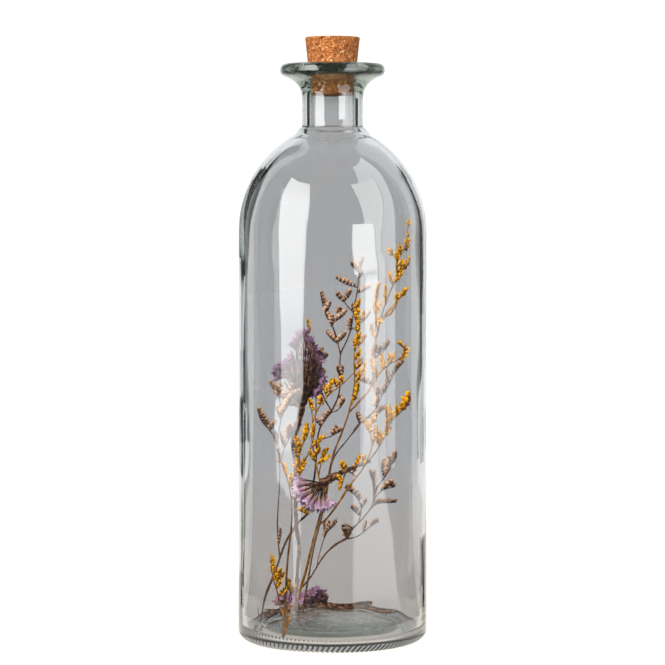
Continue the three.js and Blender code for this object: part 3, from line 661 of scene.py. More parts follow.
# %% One comb
def buds_on(axis, upward, bud, seed, bare=0.0):
    """Rows of buds along the upper side of a comb's axis, with one bud of every rank in a row.

    Each bud starts on the axis. Its direction is the upward side turned about the axis by its rank, and
    bent towards the tip by a lean that grows along the comb.
    """
    draw = np.random.default_rng(seed)
    budded = length_of(axis) * (1 - bare)
    rows = max(2, int(round(budded / bud["pitch"])))
    count = rows * len(bud["ranks"])
    along_comb = np.repeat((np.arange(rows) + 0.4) / rows, len(bud["ranks"]))
    along_comb = np.clip(along_comb + draw.normal(0, bud["jitter"] / rows, count), 0, 1)
    places, directions = at_shares(axis, bare + (1 - bare) * along_comb)
    side = np.cross(directions, upward)
    rank = np.tile(bud["ranks"], rows) + bud["jitter"] * draw.standard_normal(count)
    up = unit(upward * np.cos(rank)[:, None] + side * np.sin(rank)[:, None])
    lean = np.interp(along_comb**1.5, [0, 1], bud["lean"]) + bud["jitter"] * draw.standard_normal(count)
    along = unit(up * np.cos(lean)[:, None] + directions * np.sin(lean)[:, None])
    first = sides_of(along, (0.3, 1.0, 0.2))[0]
    size = 0.74 + 0.32 * np.sin(np.pi * along_comb**0.8)
    size = size * (1 + 0.8 * bud["jitter"] * draw.standard_normal(count))
    return copies(bud["outline"], bud["crown"], bud["sides"], places, along, first, bud["width"] * size,
                  bud["length"] * size, draw.random(count))


# %% Twigs, branches and sprays
def side_comb(root, lean, length, bud, number):
    """A twig that leaves its stem at a lean, sags by a share of its length and carries buds on top."""
    tilt = math.radians(24) * math.sin(number * golden_angle)
    roll = math.radians(30) * math.cos(number * golden_angle + 1)
    lean = math.radians(lean)
    side = 1 if lean >= 0 else -1
    chord = np.array([math.sin(lean) * math.cos(tilt), math.sin(tilt), math.cos(lean) * math.cos(tilt)])
    upward = side * np.array([-math.cos(lean), 0, math.sin(lean)])
    upward = unit(upward * math.cos(roll) + np.cross(chord, upward) * math.sin(roll))
    t = np.linspace(0, 1, 14)[:, None]
    axis = root + length * t * chord - 0.32 * length * t * (1 - t) * upward
    bare = max(0.1, 1 - bud["comb"] / length)
    return [stem_skin(axis, (0.3, 0.2), number, sides=6), buds_on(axis, upward, bud, number + 500, bare)]


def branch_skins(branch, bud, number):
    """A stem along its route, the comb that ends it and its side combs."""
    curve = smooth_route(branch["route"])
    skins = [stem_skin(curve, np.multiply(branch["girth"], stem_share), number)]
    tip = branch.get("tip", 0)
    if tip:
        share = max(0.0, 1 - tip / length_of(curve))
        places, directions = at_shares(curve, np.linspace(share, 1, 12))
        side = 1 if directions[-1, 0] >= 0 else -1
        upward = unit(np.array([-side * directions[5, 2], 0.35, side * directions[5, 0]]))
        skins.append(buds_on(places, upward, bud, number + 900))
    for index, (at, lean, length) in enumerate(branch.get("combs", [])):
        root = at_shares(curve, np.array([at]))[0][0]
        skins += side_comb(root, lean, length, bud, number * 20 + index)
    return skins


def spray(name, node, branches, bud, finish, seed):
    """One piece that stands for one spray."""
    skins = [skin for i, branch in enumerate(branches) for skin in branch_skins(branch, bud, seed + i)]
    whole_piece(name, node, skins, finish)


# %% [markdown]
# ### The finish of a dried spray
#
# Each point of a spray carries three values: whether it is stem or bud, how far out it lies, and a chance
# number of its own bud. The colour of a bud runs from a dark foot to a pale papery rim. This is partly the
# bud's own colour and partly painted light: painted shade at the foot, where the buds crowd, and a painted
# highlight at the rim. The chance number makes some buds lighter or darker than their neighbours.

# %% Dried finishes
def dried_finish(name, stem, bud, shade=(0.6, 1.15), veins=None, rough=0.8, gloss=0.06):
    """A finish from two runs of colour, one for the stem and one from a bud's foot to its rim.

    The chance number of each stem or bud picks how dark it is between the two values of the shade. Veins of
    one more colour can run through the buds.
    """
    dried = Finish(name, Specular_IOR_Level=gloss)
    growth = dried.node("ShaderNodeAttribute", attribute_name="growth").outputs["Vector"]
    kind, height, chance = dried.node("ShaderNodeSeparateXYZ", {"Vector": growth}).outputs
    blotch = dried.noise(520, 4.0)
    stem_colour = dried.ramp(blotch, *zip((0.34, 0.5, 0.66), stem))
    uneven = dried.product(dried.math("SUBTRACT", dried.noise(1300), 0.5), 0.5)
    moved = dried.total(height, uneven)
    # Painted light along the bud: the dark foot is painted shade and the pale rim a painted highlight, over
    # the bud's own colour.
    bud_colour_with_painted_light = dried.ramp(moved, *zip(np.linspace(0.1, 0.95, len(bud)).tolist(), bud))
    if veins:
        vein = dried.ramp(dried.noise(1100, 2.0, 1.2), (0.5, (0.0,)), (0.6, (0.85,)))
        bud_colour_with_painted_light = dried.blend(vein, bud_colour_with_painted_light, (*veins, 1))
    value = dried.node("ShaderNodeMapRange", {"Value": chance, "To Min": shade[0], "To Max": shade[1]})
    colour = dried.blend(kind, stem_colour, bud_colour_with_painted_light)
    shaded = dried.node("ShaderNodeHueSaturation", {"Color": colour, "Value": value.outputs[0]})
    dried.paint(Base_Color=shaded.outputs[0])
    fibres = dried.total(dried.noise(2600, 2.0), blotch)
    dried.paint(Normal=dried.bump(fibres, 0.2))
    dried.paint(Roughness=dried.ramp(dried.noise(900), (0.3, (rough - 0.1,)), (0.8, (rough + 0.1,))))
    return dried.material


# The first colour of each bud run is painted shade at the buds' feet, and the last a painted highlight at
# their rims.
golden_finish = dried_finish(
    "golden sea lavender",
    stem=(rgb(104, 62, 16), rgb(152, 98, 28), rgb(192, 136, 52)),
    bud=(rgb(60, 28, 4), rgb(150, 78, 2), rgb(240, 160, 4), rgb(255, 204, 30)),
    shade=(0.4, 1.2),
)
beige_finish = dried_finish(
    "beige sea lavender",
    stem=(rgb(64, 38, 24), rgb(100, 64, 42), rgb(134, 94, 68)),
    bud=(rgb(30, 16, 10), rgb(104, 66, 42), rgb(186, 138, 100), rgb(226, 184, 148)),
)

# %% [markdown]
# ### The golden sprays
#
# The tall one stands on one foot at the front left and forks low down. Its routes are the same points as in
# the plain solid, in millimetres, and its combs sit where the real spray carries them.

# %% The tall golden spray
golden_tall = [
    dict(route=[(-24, -32, 5), (-20.5, -29, 16.5), (-15, -25.5, 32), (-11, -22, 46.5), (-7.5, -19, 60)],
         girth=(0.95, 0.8)),
    dict(route=[(-7.5, -19, 60), (-4, -17.5, 73.5), (1.5, -15, 97), (9, -13, 119), (11.5, -12, 130.5),
                (11, -11, 141.5), (12, -10, 156), (13, -9, 171.5)],
         girth=(0.8, 0.3), tip=3,
         combs=[(0.54, 20, 12), (0.64, 25, 11), (0.7, 40, 6.5), (0.74, 30, 6.5), (0.78, -5, 6),
                (0.8, 45, 7), (0.82, 25, 5.5), (0.86, 15, 4.5), (0.89, 25, 8), (0.9, -15, 5),
                (0.94, -10, 5.5), (0.98, 15, 3.5)]),
    dict(route=[(8.5, -13, 117), (12.5, -12, 120.5), (17, -10, 126.5), (19.5, -8.5, 132.5), (19, -7, 141),
                (19.5, -6, 147), (22.5, -5, 156), (22, -5.5, 163), (21.5, -7, 172.5), (23.5, -8, 180)],
         girth=(0.6, 0.3), tip=7,
         combs=[(0.58, -15, 8), (0.66, -10, 6.5), (0.68, 25, 4), (0.76, -10, 6.5), (0.78, 25, 6),
                (0.85, 10, 7)]),
    dict(route=[(22.5, -5, 156), (25.5, -4, 167), (29.5, -3, 177.5), (32, -2.5, 184), (32, -2, 192),
                (35.5, -1.5, 197.5), (38, -1, 204), (38.5, 0, 212)],
         girth=(0.5, 0.22),
         combs=[(0.18, 5, 14.5), (0.42, -15, 7), (0.44, 35, 7), (0.5, 20, 6), (0.52, 45, 12.5),
                (0.58, 50, 4), (0.62, 15, 5), (0.65, -40, 6), (0.68, 0, 5.5), (0.74, 70, 4.5),
                (0.76, 25, 4.5), (0.78, 55, 4.5), (0.84, 25, 3.5), (0.93, 15, 4)]),
    dict(route=[(23.5, -4.5, 160.5), (27, -4.5, 165.5), (31.5, -4, 170.5), (38, -4, 177.5)],
         girth=(0.45, 0.3), tip=5, combs=[(0.06, 42, 12), (0.58, 15, 5), (0.72, 45, 6)]),
    dict(route=[(19, -9, 129.5), (22.5, -10.5, 135.5), (29, -12.5, 140.5), (34.5, -14, 144),
                (35.5, -14.5, 148), (32.5, -15, 151)],
         girth=(0.5, 0.3), tip=11,
         combs=[(0.12, -10, 5), (0.16, -15, 9), (0.28, 25, 5.5), (0.32, -5, 8), (0.46, -5, 5),
                (0.5, 20, 5)]),
    dict(route=[(-7.5, -19, 60), (-3, -19.5, 63), (4, -21, 72), (9, -21, 81.5), (14.5, -21, 89),
                (19, -20.5, 99), (18.5, -20.5, 105.5), (15.5, -20, 113)],
         girth=(0.7, 0.3), tip=7, combs=[(0.62, -5, 5), (0.78, 10, 10.5), (0.94, 30, 7.5)]),
    dict(route=[(14.5, -21, 89), (21, -19.5, 97), (25, -18, 104.5), (28.5, -17, 111), (34.5, -14.5, 117.5),
                (37, -12, 126)],
         girth=(0.5, 0.3), tip=9,
         combs=[(0.3, -5, 7), (0.38, -10, 3.5), (0.42, 45, 6), (0.46, 5, 6), (0.58, -15, 9.5),
                (0.6, 0, 9.5), (0.64, 20, 4.5), (0.72, 5, 5), (0.8, 15, 9)]),
    dict(route=[(11.5, -21, 84.5), (7.5, -20, 87), (4.5, -23, 79)],
         girth=(0.45, 0.3), tip=6, combs=[(0.2, 25, 9), (0.45, -15, 6), (0.75, -40, 4)]),
    dict(route=[(-5, -17.5, 71), (-7.5, -19, 85), (-9.5, -20, 95.5), (-10.5, -20, 103), (-9.5, -20, 114.5),
                (-11, -21, 123.5)],
         girth=(0.6, 0.3), tip=6,
         combs=[(0.38, 60, 9.5), (0.4, -30, 6), (0.46, 35, 5.5), (0.54, 40, 7), (0.56, 55, 8.5),
                (0.62, 10, 7.5)]),
    dict(route=[(-9.5, -20, 112), (-6.5, -19.5, 119.5), (-0.5, -19, 127.5), (3.5, -18.5, 130),
                (11, -18, 136.5)],
         girth=(0.45, 0.3),
         combs=[(0.28, 10, 4.5), (0.46, -15, 5), (0.5, 10, 6.5), (0.66, -30, 4), (0.74, 5, 4)]),
    dict(route=[(-7.5, -19, 85), (-5.5, -16.5, 92), (-2, -15, 98)],
         girth=(0.45, 0.3), tip=7, combs=[(0.6, 20, 5)]),
]
spray("golden_spray_tall", "golden_tall", golden_tall, golden_bud, golden_finish, 100)

# %% The short golden spray
golden_short = [
    dict(route=[(-24.5, -12, 5.2), (-24.5, -11.5, 16), (-23.5, -11, 30), (-22, -11, 44.5),
                (-19.5, -11, 64.5), (-19.5, -11, 71.5), (-21, -12.5, 80), (-25.5, -14, 90.5)],
         girth=(0.8, 0.3), tip=8, combs=[(0.84, 25, 5), (0.86, 15, 7), (0.93, -5, 5)]),
    dict(route=[(-24.5, -12, 11), (-26.5, -13.5, 17.5), (-28, -16, 27), (-29.5, -17.5, 33),
                (-30.5, -20, 44.5)],
         girth=(0.5, 0.3), tip=9, combs=[(0.36, 45, 5.5), (0.62, 20, 5)]),
    dict(route=[(-28, -16, 27), (-27.5, -17.5, 32), (-25.5, -19, 38)],
         girth=(0.45, 0.3), tip=7, combs=[(0.05, 35, 4.5), (0.3, 35, 6)]),
    dict(route=[(-24.5, -12, 12), (-22.5, -10, 19), (-22, -7, 30)],
         girth=(0.45, 0.3), tip=6, combs=[(0.6, 40, 5), (0.72, -15, 5)]),
    dict(route=[(-19.5, -11, 71.5), (-17, -11, 80), (-15.5, -11, 87.5), (-16, -11, 95),
                (-14.5, -10.5, 100.5), (-12.5, -10, 110)],
         girth=(0.5, 0.3), tip=9,
         combs=[(0.3, 15, 9), (0.34, -10, 8), (0.56, -5, 8), (0.68, -25, 6), (0.76, 15, 8)]),
    dict(route=[(-19.5, -11, 66.5), (-16.5, -12.5, 67), (-13, -14, 66)],
         girth=(0.4, 0.25), tip=5, combs=[(0.55, 60, 4)]),
    dict(route=[(-15.5, -11, 87.5), (-9.5, -3, 103), (-7.5, 10, 118), (-8, 16, 133), (-11, 17, 147),
                (-13, 16.5, 160)],
         girth=(0.4, 0.25), tip=3, combs=[(0.62, 40, 6), (0.75, 40, 8), (0.92, 20, 3)]),
]
spray("golden_spray_short", "golden_short", golden_short, golden_bud, golden_finish, 140)

# %% [markdown]
# ### The beige sprays
#
# They are undyed, so the buds are the colour of straw with brown feet, darkened further at the foot by
# painted shade. Their combs are broader than the golden ones, because the papery cups have opened.

# %% The beige spray at the left
beige_left = [
    dict(route=[(-38.5, 8, 5.3), (-35.5, 7, 14), (-31, 6, 30), (-27, 5, 40)], girth=(0.85, 0.7)),
    dict(route=[(-37.6, 8, 7.5), (-40, 8.5, 8.5), (-40.8, 9, 12.5)], girth=(0.5, 0.35)),
    dict(route=[(-27, 5, 40), (-29, 5.5, 54.5), (-29.5, 6, 68), (-28.5, 5, 82.5), (-28.5, 4.5, 87.5),
                (-29.5, 3, 97.5), (-31, 2, 102), (-35, 0, 110), (-37.5, -2, 117.5)],
         girth=(0.6, 0.3), tip=11,
         combs=[(0.08, 10, 8.5), (0.6, 5, 7), (0.66, -20, 4), (0.74, 5, 7), (0.84, 40, 7.5)]),
    dict(route=[(-28.5, 4.5, 87.5), (-24, 1, 96.5), (-21.5, -1, 101), (-20.5, -4, 109.5)],
         girth=(0.45, 0.3), tip=6, combs=[(0.44, -20, 9), (0.64, 10, 8), (0.7, 25, 11)]),
    dict(route=[(-29.5, 3, 97.5), (-26.5, -2, 109), (-25.5, -5, 115), (-26, -7.5, 123), (-27.5, -9, 129)],
         girth=(0.45, 0.3), tip=6, combs=[(0.5, -20, 6.5), (0.58, 25, 10), (0.86, 15, 6)]),
    dict(route=[(-25.5, -6, 118), (-21.5, -7.5, 123), (-16.5, -9, 126.5)],
         girth=(0.4, 0.3), tip=7, combs=[(0.2, 40, 7), (0.5, 10, 7.5)]),
    dict(route=[(-27, 5, 40), (-23.5, 3.5, 48), (-16.5, 2, 59), (-13, 1, 63.5), (-10.5, 0, 82),
                (-6.5, 2.5, 106), (-1, 4, 116.5), (3, 5.5, 126), (3.5, 7, 137.5), (4, 8, 144)],
         girth=(0.75, 0.5), combs=[(0.66, -35, 5), (0.68, 25, 6.5), (0.88, 20, 7.5), (0.9, -20, 5.5)]),
    dict(route=[(4, 8, 144), (1, 9, 156), (-3, 10, 165), (-5.5, 11, 175.5)],
         girth=(0.5, 0.3), tip=10,
         combs=[(0.16, -45, 8.5), (0.18, 42, 6.5), (0.44, 10, 5.5), (0.54, -25, 4.5), (0.66, 25, 7)]),
    dict(route=[(-0.5, 9, 158), (2.5, 8, 162), (4.5, 7, 167)],
         girth=(0.4, 0.3), tip=3, combs=[(0.3, 45, 8)]),
    dict(route=[(4, 8, 144), (8.5, 7.5, 154.5), (10.5, 7, 168), (12, 6, 177), (13, 5, 186.5), (15, 4, 193)],
         girth=(0.5, 0.3), tip=6,
         combs=[(0.24, 5, 6.5), (0.26, 50, 14), (0.42, -10, 5), (0.64, 65, 9), (0.7, -65, 11.5),
                (0.8, 50, 3.5), (0.86, -45, 6.5)]),
    dict(route=[(10, 7, 165), (6.5, 8, 169), (3.5, 9, 175)],
         girth=(0.4, 0.3), combs=[(0.55, -45, 6), (0.62, 35, 6.5)]),
    dict(route=[(-1.5, 3.5, 115.5), (2.5, 2, 117.5), (6.5, 1, 122)],
         girth=(0.4, 0.3), tip=5, combs=[(0.5, 30, 6), (0.7, -20, 5)]),
    dict(route=[(-7.5, 2, 101), (-1.5, 3.5, 102.5), (5, 5, 105.5)],
         girth=(0.4, 0.3), tip=6, combs=[(0.6, 25, 5)]),
    dict(route=[(-1, 4, 116.5), (-4.5, 9, 124), (-6.5, 11, 133), (-5, 11, 139), (-2, 10.5, 143)],
         girth=(0.4, 0.3), tip=6),
]
spray("beige_spray_left", "beige_left", beige_left, beige_bud, beige_finish, 200)

# %% The beige sprays at the back and at the right
beige_back = [
    dict(route=[(-15, 2, 10.4), (-11.5, 5, 35), (-6.5, 8, 56), (-2, 9.5, 74.5), (2, 11, 91),
                (9.5, 12, 101.5), (15.5, 13, 108.5), (21.5, 13.5, 120), (27.5, 14, 128)],
         girth=(0.7, 0.3), tip=6, combs=[(0.82, -15, 7), (0.9, 20, 5)]),
    dict(route=[(25, 14, 124.5), (30, 13.5, 129), (32.5, 13, 132.5), (38, 12, 139.5)],
         girth=(0.4, 0.3), tip=10, combs=[(0.05, 30, 5.5), (0.32, -20, 7)]),
    dict(route=[(21.5, 13.5, 120), (19.5, 12.5, 129), (20, 11, 139.5), (22.5, 10, 148)],
         girth=(0.45, 0.3), tip=6, combs=[(0.05, 10, 6), (0.28, -55, 8.5), (0.76, 15, 6)]),
    dict(route=[(20.5, 11.5, 141), (25.5, 13, 145), (29, 14, 149)],
         girth=(0.4, 0.3), tip=5, combs=[(0.28, 30, 4.5), (0.56, 40, 6.5)]),
    dict(route=[(9.5, 12, 101.5), (16.5, 15, 110.5), (22, 17, 115), (26.5, 18, 117)],
         girth=(0.4, 0.3), tip=8, combs=[(0.66, 40, 5)]),
]
spray("beige_spray_back", "beige_back", beige_back, beige_bud, beige_finish, 240)

beige_right = [
    dict(route=[(-26.6, 30.2, 5), (-22, 28.5, 14.5), (-14.5, 27, 22.5), (-6, 24.5, 33.5), (1.5, 22, 42.5),
                (6, 20, 47.5)],
         girth=(0.75, 0.55)),
    dict(route=[(-7, 24.8, 32.3), (-5, 25, 40), (-2.5, 26, 47.5), (0.5, 27, 55)],
         girth=(0.4, 0.3), tip=4, combs=[(0.64, 20, 4.5), (0.7, -15, 7), (0.76, 45, 8)]),
    dict(route=[(6, 20, 47.5), (11.5, 18.5, 49.5), (17.5, 17, 53), (26, 15, 57)],
         girth=(0.45, 0.3), tip=7, combs=[(0.02, 20, 6.5), (0.44, 20, 7)]),
    dict(route=[(6, 20, 47.5), (9.5, 18.5, 54), (15, 16.5, 59.5), (20, 15, 64.5), (22, 14, 68.5),
                (22, 13, 78), (18.5, 12, 84)],
         girth=(0.55, 0.3), tip=8, combs=[(0.03, -10, 6), (0.64, 25, 6.5), (0.7, -5, 13), (0.82, -30, 7)]),
    dict(route=[(21.8, 14, 67.5), (26, 12, 72.5), (31, 11, 75.5)],
         girth=(0.4, 0.3), tip=5, combs=[(0.64, 35, 6.5)]),
    dict(route=[(22, 13.8, 71), (27, 11.5, 79), (30, 9.5, 86.5), (33.5, 8, 93)],
         girth=(0.4, 0.3), tip=6, combs=[(0.44, -15, 9), (0.62, 0, 7), (0.72, 35, 7.5)]),
    dict(route=[(11.5, 17.8, 56), (13, 18.5, 63), (11, 19.5, 68.5), (7.5, 20, 74)],
         girth=(0.4, 0.3), tip=8, combs=[(0.2, -40, 6), (0.42, 50, 5.5)]),
    dict(route=[(19, 15.3, 63.5), (25, 16.5, 66), (31, 18, 66.5)], girth=(0.4, 0.3), tip=9),
]
spray("beige_spray_right", "beige_right", beige_right, beige_bud, beige_finish, 260)

# %% [markdown]
# ## Winged statice
#
# A statice head is a crowd of papery cups, each a pleated funnel 5 or 6 mm long, lilac or purple at the rim
# and straw at its foot. Brown pointed bracts fan out among them, and the stem has two ragged wings. The
# cups are copies of one funnel, turned by the golden angle from one to the next along the head, so no two
# neighbours line up. Each funnel is a thin closed shell: its outline goes up the outside, over the rim and
# down inside, so the mouth is really open.

# %% Papery cups
cup_outline = [(0.0, 0.1), (0.2, 0.16), (0.45, 0.3), (0.7, 0.58), (0.88, 0.88), (1.0, 1.08), (1.0, 1.0),
               (0.86, 0.8), (0.68, 0.5), (0.45, 0.22)]
cup_sides = 28
cup_pleats = 7
cup_crown = 0.4
cup_pleat_depth = 0.18
cup_length = 6.2
cup_width = 3.2


def cups_along(route, count, lean, size, seed):
    """Funnels set along a route, each turned by the golden angle and leaning towards the route's end."""
    draw = np.random.default_rng(seed)
    number = np.arange(count)
    places, directions = at_shares(smooth_route(route), (number + 0.6) / count)
    first, second = sides_of(directions)
    turn = number * golden_angle
    outward = np.cos(turn)[:, None] * first + np.sin(turn)[:, None] * second
    outward = outward * math.cos(lean) + directions * math.sin(lean)
    outward = unit(outward + 0.16 * draw.standard_normal((count, 3)))
    sizes = size * draw.uniform(0.72, 1.05, count)
    return copies(cup_outline, cup_crown, cup_sides, places, outward, sides_of(outward)[0],
                  cup_width * sizes, cup_length * sizes, draw.random(count),
                  pleats=cup_pleats, depth=cup_pleat_depth)


def frill(feet, rims, count, width, seed):
    """Funnels side by side. Their feet lie on one route, and each points at the matching place of another.

    Two layers are made, the second a little behind the first and half a step along.
    """
    draw = np.random.default_rng(seed)
    shares = np.linspace(0.03, 0.97, 2 * count)
    layer = np.arange(2 * count) % 2
    foot = at_shares(smooth_route(feet), shares)[0] + layer[:, None] * np.array([0, 1.4, 0])
    rim = at_shares(smooth_route(rims), shares)[0] + draw.normal(0, 0.5, (2 * count, 3))
    rim += layer[:, None] * np.array([0, 2.6, 0])
    reach = np.linalg.norm(rim - foot, axis=1) * draw.uniform(0.86, 1.04, 2 * count)
    along = unit(rim - foot)
    return copies(cup_outline, cup_crown, cup_sides, foot, along, sides_of(along)[0],
                  width * draw.uniform(0.85, 1.15, 2 * count), reach, draw.random(2 * count),
                  pleats=cup_pleats, depth=cup_pleat_depth)


# %% Bracts and ribs
blade_step = 0.8
blade_sides = 10


def blade_skin(route, reach, seed):
    """A pointed blade: its half width rises and falls along the route as a sine, and it is thin across."""
    draw = np.random.default_rng(seed)
    curve = smooth_route(route)
    rows = max(8, int(length_of(curve) / blade_step))
    shares = np.linspace(0, 1, rows)
    places, directions = at_shares(curve, shares)
    turns = np.linspace(0, 2 * np.pi, blade_sides, endpoint=False)[None, :]
    width = reach * (0.25 + 0.75 * np.sin(np.pi * (0.12 + 0.86 * shares)))[:, None]
    flat = 1 / np.sqrt(np.sin(turns) ** 2 + (np.cos(turns) / 0.3) ** 2)
    rings = rings_along(places, directions, width * flat * (1 + 0.1 * np.cos(5 * turns)),
                        draw.normal(0, 0.5, 3) + depth_axis)[None]
    points, quads, triangles = closed_skins(rings, places[:1], places[-1:] + 0.3 * directions[-1:])
    height = np.concatenate([[0], np.repeat(shares, blade_sides), [1]])
    return points, quads, triangles, growth_values(len(points), stem_kind, height, draw.random())


def bract_fan(route, reach, seed):
    """Three narrow blades in place of one bract: along its route, and turned a little to either side."""
    points = np.array(route, float)
    skins = [blade_skin(points, 0.62 * reach, seed)]
    for index, (turn, share) in enumerate([(-0.2, 0.86), (0.22, 0.8)]):
        arms = (points - points[0]) * share
        across = arms[:, 0] * math.cos(turn) + arms[:, 2] * math.sin(turn)
        upwards = arms[:, 2] * math.cos(turn) - arms[:, 0] * math.sin(turn)
        turned = np.column_stack([across, arms[:, 1] + 0.6 * index, upwards])
        skins.append(blade_skin(points[0] + turned, 0.5 * reach, seed + 1 + index))
    return skins


# %% Winged stems
wing_step = 0.6
wing_sides = 16


def winged_stem_skin(route, seed, core, wing):
    """A stem whose reach grows by a ragged wing on its two opposite sides.

    The core is a list of reaches at even shares of the stem's length.
    """
    draw = np.random.default_rng(seed)
    curve = smooth_route(route)
    rows = int(length_of(curve) / wing_step)
    shares = np.linspace(0, 1, rows)
    places, directions = at_shares(curve, shares)
    turns = np.linspace(0, 2 * np.pi, wing_sides, endpoint=False)[None, :]
    ragged = np.convolve(draw.random(rows + 2), np.ones(3) / 3, mode="valid")[:, None]
    blade = np.abs(np.sin(turns)) ** 6
    middle = np.interp(shares, np.linspace(0, 1, len(core)), core)[:, None]
    reach = middle * (1 + 0.14 * np.cos(4 * turns)) + wing * (0.2 + 1.5 * ragged) * blade
    reach = reach * (1 + 0.09 * draw.standard_normal((rows, 1)))
    rings = rings_along(places, directions, reach, (0.25, 1.0, 0.0))[None]
    ends = places[:1] - 0.2 * directions[:1], places[-1:] + 0.2 * directions[-1:]
    points, quads, triangles = closed_skins(rings, *ends)
    height = np.concatenate([[0], np.repeat(shares, wing_sides), [1]])
    return points, quads, triangles, growth_values(len(points), stem_kind, height, draw.random())


# %% The statice finishes
# The darkest first colour of each bud run is painted shade at the foot of the cups and buds.
brown_finish = dried_finish(
    "brown winged stem",
    stem=(rgb(26, 14, 9), rgb(66, 42, 30), rgb(140, 102, 74)),
    bud=(rgb(26, 14, 9), rgb(104, 70, 46), rgb(196, 154, 118)),
    shade=(0.4, 1.3),
)
statice_browns = (rgb(46, 26, 18), rgb(74, 46, 36), rgb(104, 72, 58))
purple_finish = dried_finish(
    "purple statice paper",
    stem=statice_browns,
    bud=(rgb(40, 22, 16), rgb(120, 80, 62), rgb(160, 112, 116), rgb(126, 88, 132), rgb(150, 114, 160)),
    veins=rgb(196, 156, 138),
)
lilac_finish = dried_finish(
    "lilac statice paper",
    stem=statice_browns,
    bud=(rgb(70, 44, 32), rgb(150, 112, 98), rgb(172, 130, 150), rgb(150, 114, 158), rgb(200, 172, 202)),
    veins=rgb(206, 170, 150),
)


# %% The upright statice
upright_route = [(-19, 7, 9.8), (-18.5, 7, 33), (-17.5, 7.5, 45.5), (-18, 8, 56), (-17, 8, 72),
                 (-16.5, 8, 86), (-19, 8, 101.5), (-17.5, 7, 110), (-15.5, 5, 119)]
upright_bracts = [
    ([(-15.5, 5, 117), (-12.5, 1.5, 125), (-9.5, 1, 134), (-8.5, 2, 146)], 1.7),
    ([(-15.5, 5, 117), (-18, 1, 126), (-20, 1, 134), (-20.5, 2, 142)], 1.6),
    ([(-15.5, 5, 117), (-21, 2.5, 124), (-25, 3, 131)], 1.5),
    ([(-15.5, 5, 117), (-15.3, 0, 125), (-14.5, -0.5, 134)], 1.5),
    ([(-12.5, 1.5, 125), (-9, -1.5, 130), (-7, -2.5, 136)], 1.2),
    ([(-9.5, 1, 134), (-8, -2, 138), (-8, -3, 144)], 1.1),
    ([(-18, 1, 126), (-21.5, -1.5, 130), (-23.5, -2, 136)], 1.1),
]
upright_ribs = [(-8, -2, 149), (-9.5, -2.5, 150), (-11, -2.5, 151), (-12.7, -2.3, 151), (-14.5, -2, 150),
                (-7.4, -1.8, 146), (-6.8, -1.5, 143), (-6.2, -1.2, 140), (-6, -1, 137), (-16, -1.5, 148),
                (-17.5, -1, 146), (-20, -1, 141), (-23, 0, 137), (-8, -2, 132), (-7, -1.5, 134.5),
                (-12, -3, 141), (-10, -3, 146), (-13, -3.5, 134), (-9.5, -3.2, 139), (-10.5, -3.4, 134)]
upright_heads = [
    ([(-14, 8.5, 120), (-10.5, 9, 130), (-9.5, 9, 140), (-12, 9, 148)], 14, 0.5),
    ([(-14.5, 8.5, 120), (-18, 9, 132), (-19, 8, 144)], 8, 0.45),
]
upright_frills = [
    ([(-18.5, 5, 143), (-16, 4, 146.5), (-13, 3.5, 146.5), (-11, 3, 143), (-9.6, 3, 139.5), (-9.6, 3, 135),
      (-10.5, 2.5, 130), (-12, 2.5, 126)],
     [(-22.5, 4, 148), (-18.5, 3, 155.5), (-14, 2, 155.5), (-9.5, 1.5, 149), (-6.6, 1, 143), (-5.5, 1, 136),
      (-4, 0.5, 130), (-9, 0.5, 123)], 9, 2.6),
    ([(-22.5, 6, 132), (-21.2, 6, 133.8), (-20.2, 6, 136)],
     [(-28.5, 5, 133.5), (-27.5, 4.5, 139.5), (-21, 4.5, 141)], 3, 2.5),
]
skins = [winged_stem_skin(upright_route, 300, (0.55, 0.5, 0.5, 0.55, 0.5, 0.5, 0.6, 1.0, 1.3), 0.4)]
for number, (route, reach) in enumerate(upright_bracts):
    skins += bract_fan(route, reach, 310 + 5 * number)
rib_root = np.array([-15.2, 2.0, 119])
bract_bud = dict(beige_bud, width=0.75, length=3.2, pitch=1.3, ranks=(-1.2, -0.4, 0.4, 1.2), jitter=0.15)
for number, tip in enumerate(upright_ribs):
    skins.append(blade_skin([rib_root, (rib_root + tip) / 2 + (0, -1.5, 0), tip], 0.7, 380 + number))
bract_axis = smooth_route([(-16, 2, 118), (-20, 0, 119.5), (-25, -1, 124), (-30, -1, 130)])
skins.append(buds_on(bract_axis, unit(np.array([-0.3, -0.4, 0.85])), bract_bud, 399))
whole_piece("statice_upright_stem", "upright_stem", skins, brown_finish)

skins = [cups_along(route, count, lean, 0.85, 350 + count) for route, count, lean in upright_heads]
skins += [stem_skin(smooth_route(route), (1.3, 0.7), 360 + count) for route, count, _ in upright_heads]
skins += [frill(feet, rims, count, width, 370 + count) for feet, rims, count, width in upright_frills]
whole_piece("statice_upright_head", "upright_head", skins, purple_finish)

# %% The hanging statice
hanging_route = [(18.5, -22.5, 93), (9, -22.2, 89), (1, -23.2, 85), (-6, -26, 81.5)]
fan_root = np.array([-5.5, -26, 82])
fan_forward, fan_sideways = np.array([-0.62, -0.2, -0.76]), np.array([-0.75, 0.05, 0.6])
fan_angles = np.linspace(-1.15, 1.15, 13)
fan_arms = np.cos(fan_angles)[:, None] * fan_forward + np.sin(fan_angles)[:, None] * fan_sideways
skins = [winged_stem_skin(hanging_route, 400, (0.45, 0.5, 0.6, 0.9, 1.6, 2.3), 0.3)]
for number, arm in enumerate(fan_arms):
    blade = [fan_root, fan_root + 4.2 * arm + (0, -0.8, 0), fan_root + 8.5 * arm]
    skins.append(blade_skin(blade, 0.62, 410 + number))
whole_piece("statice_hanging_stem", "hanging_stem", skins, brown_finish)

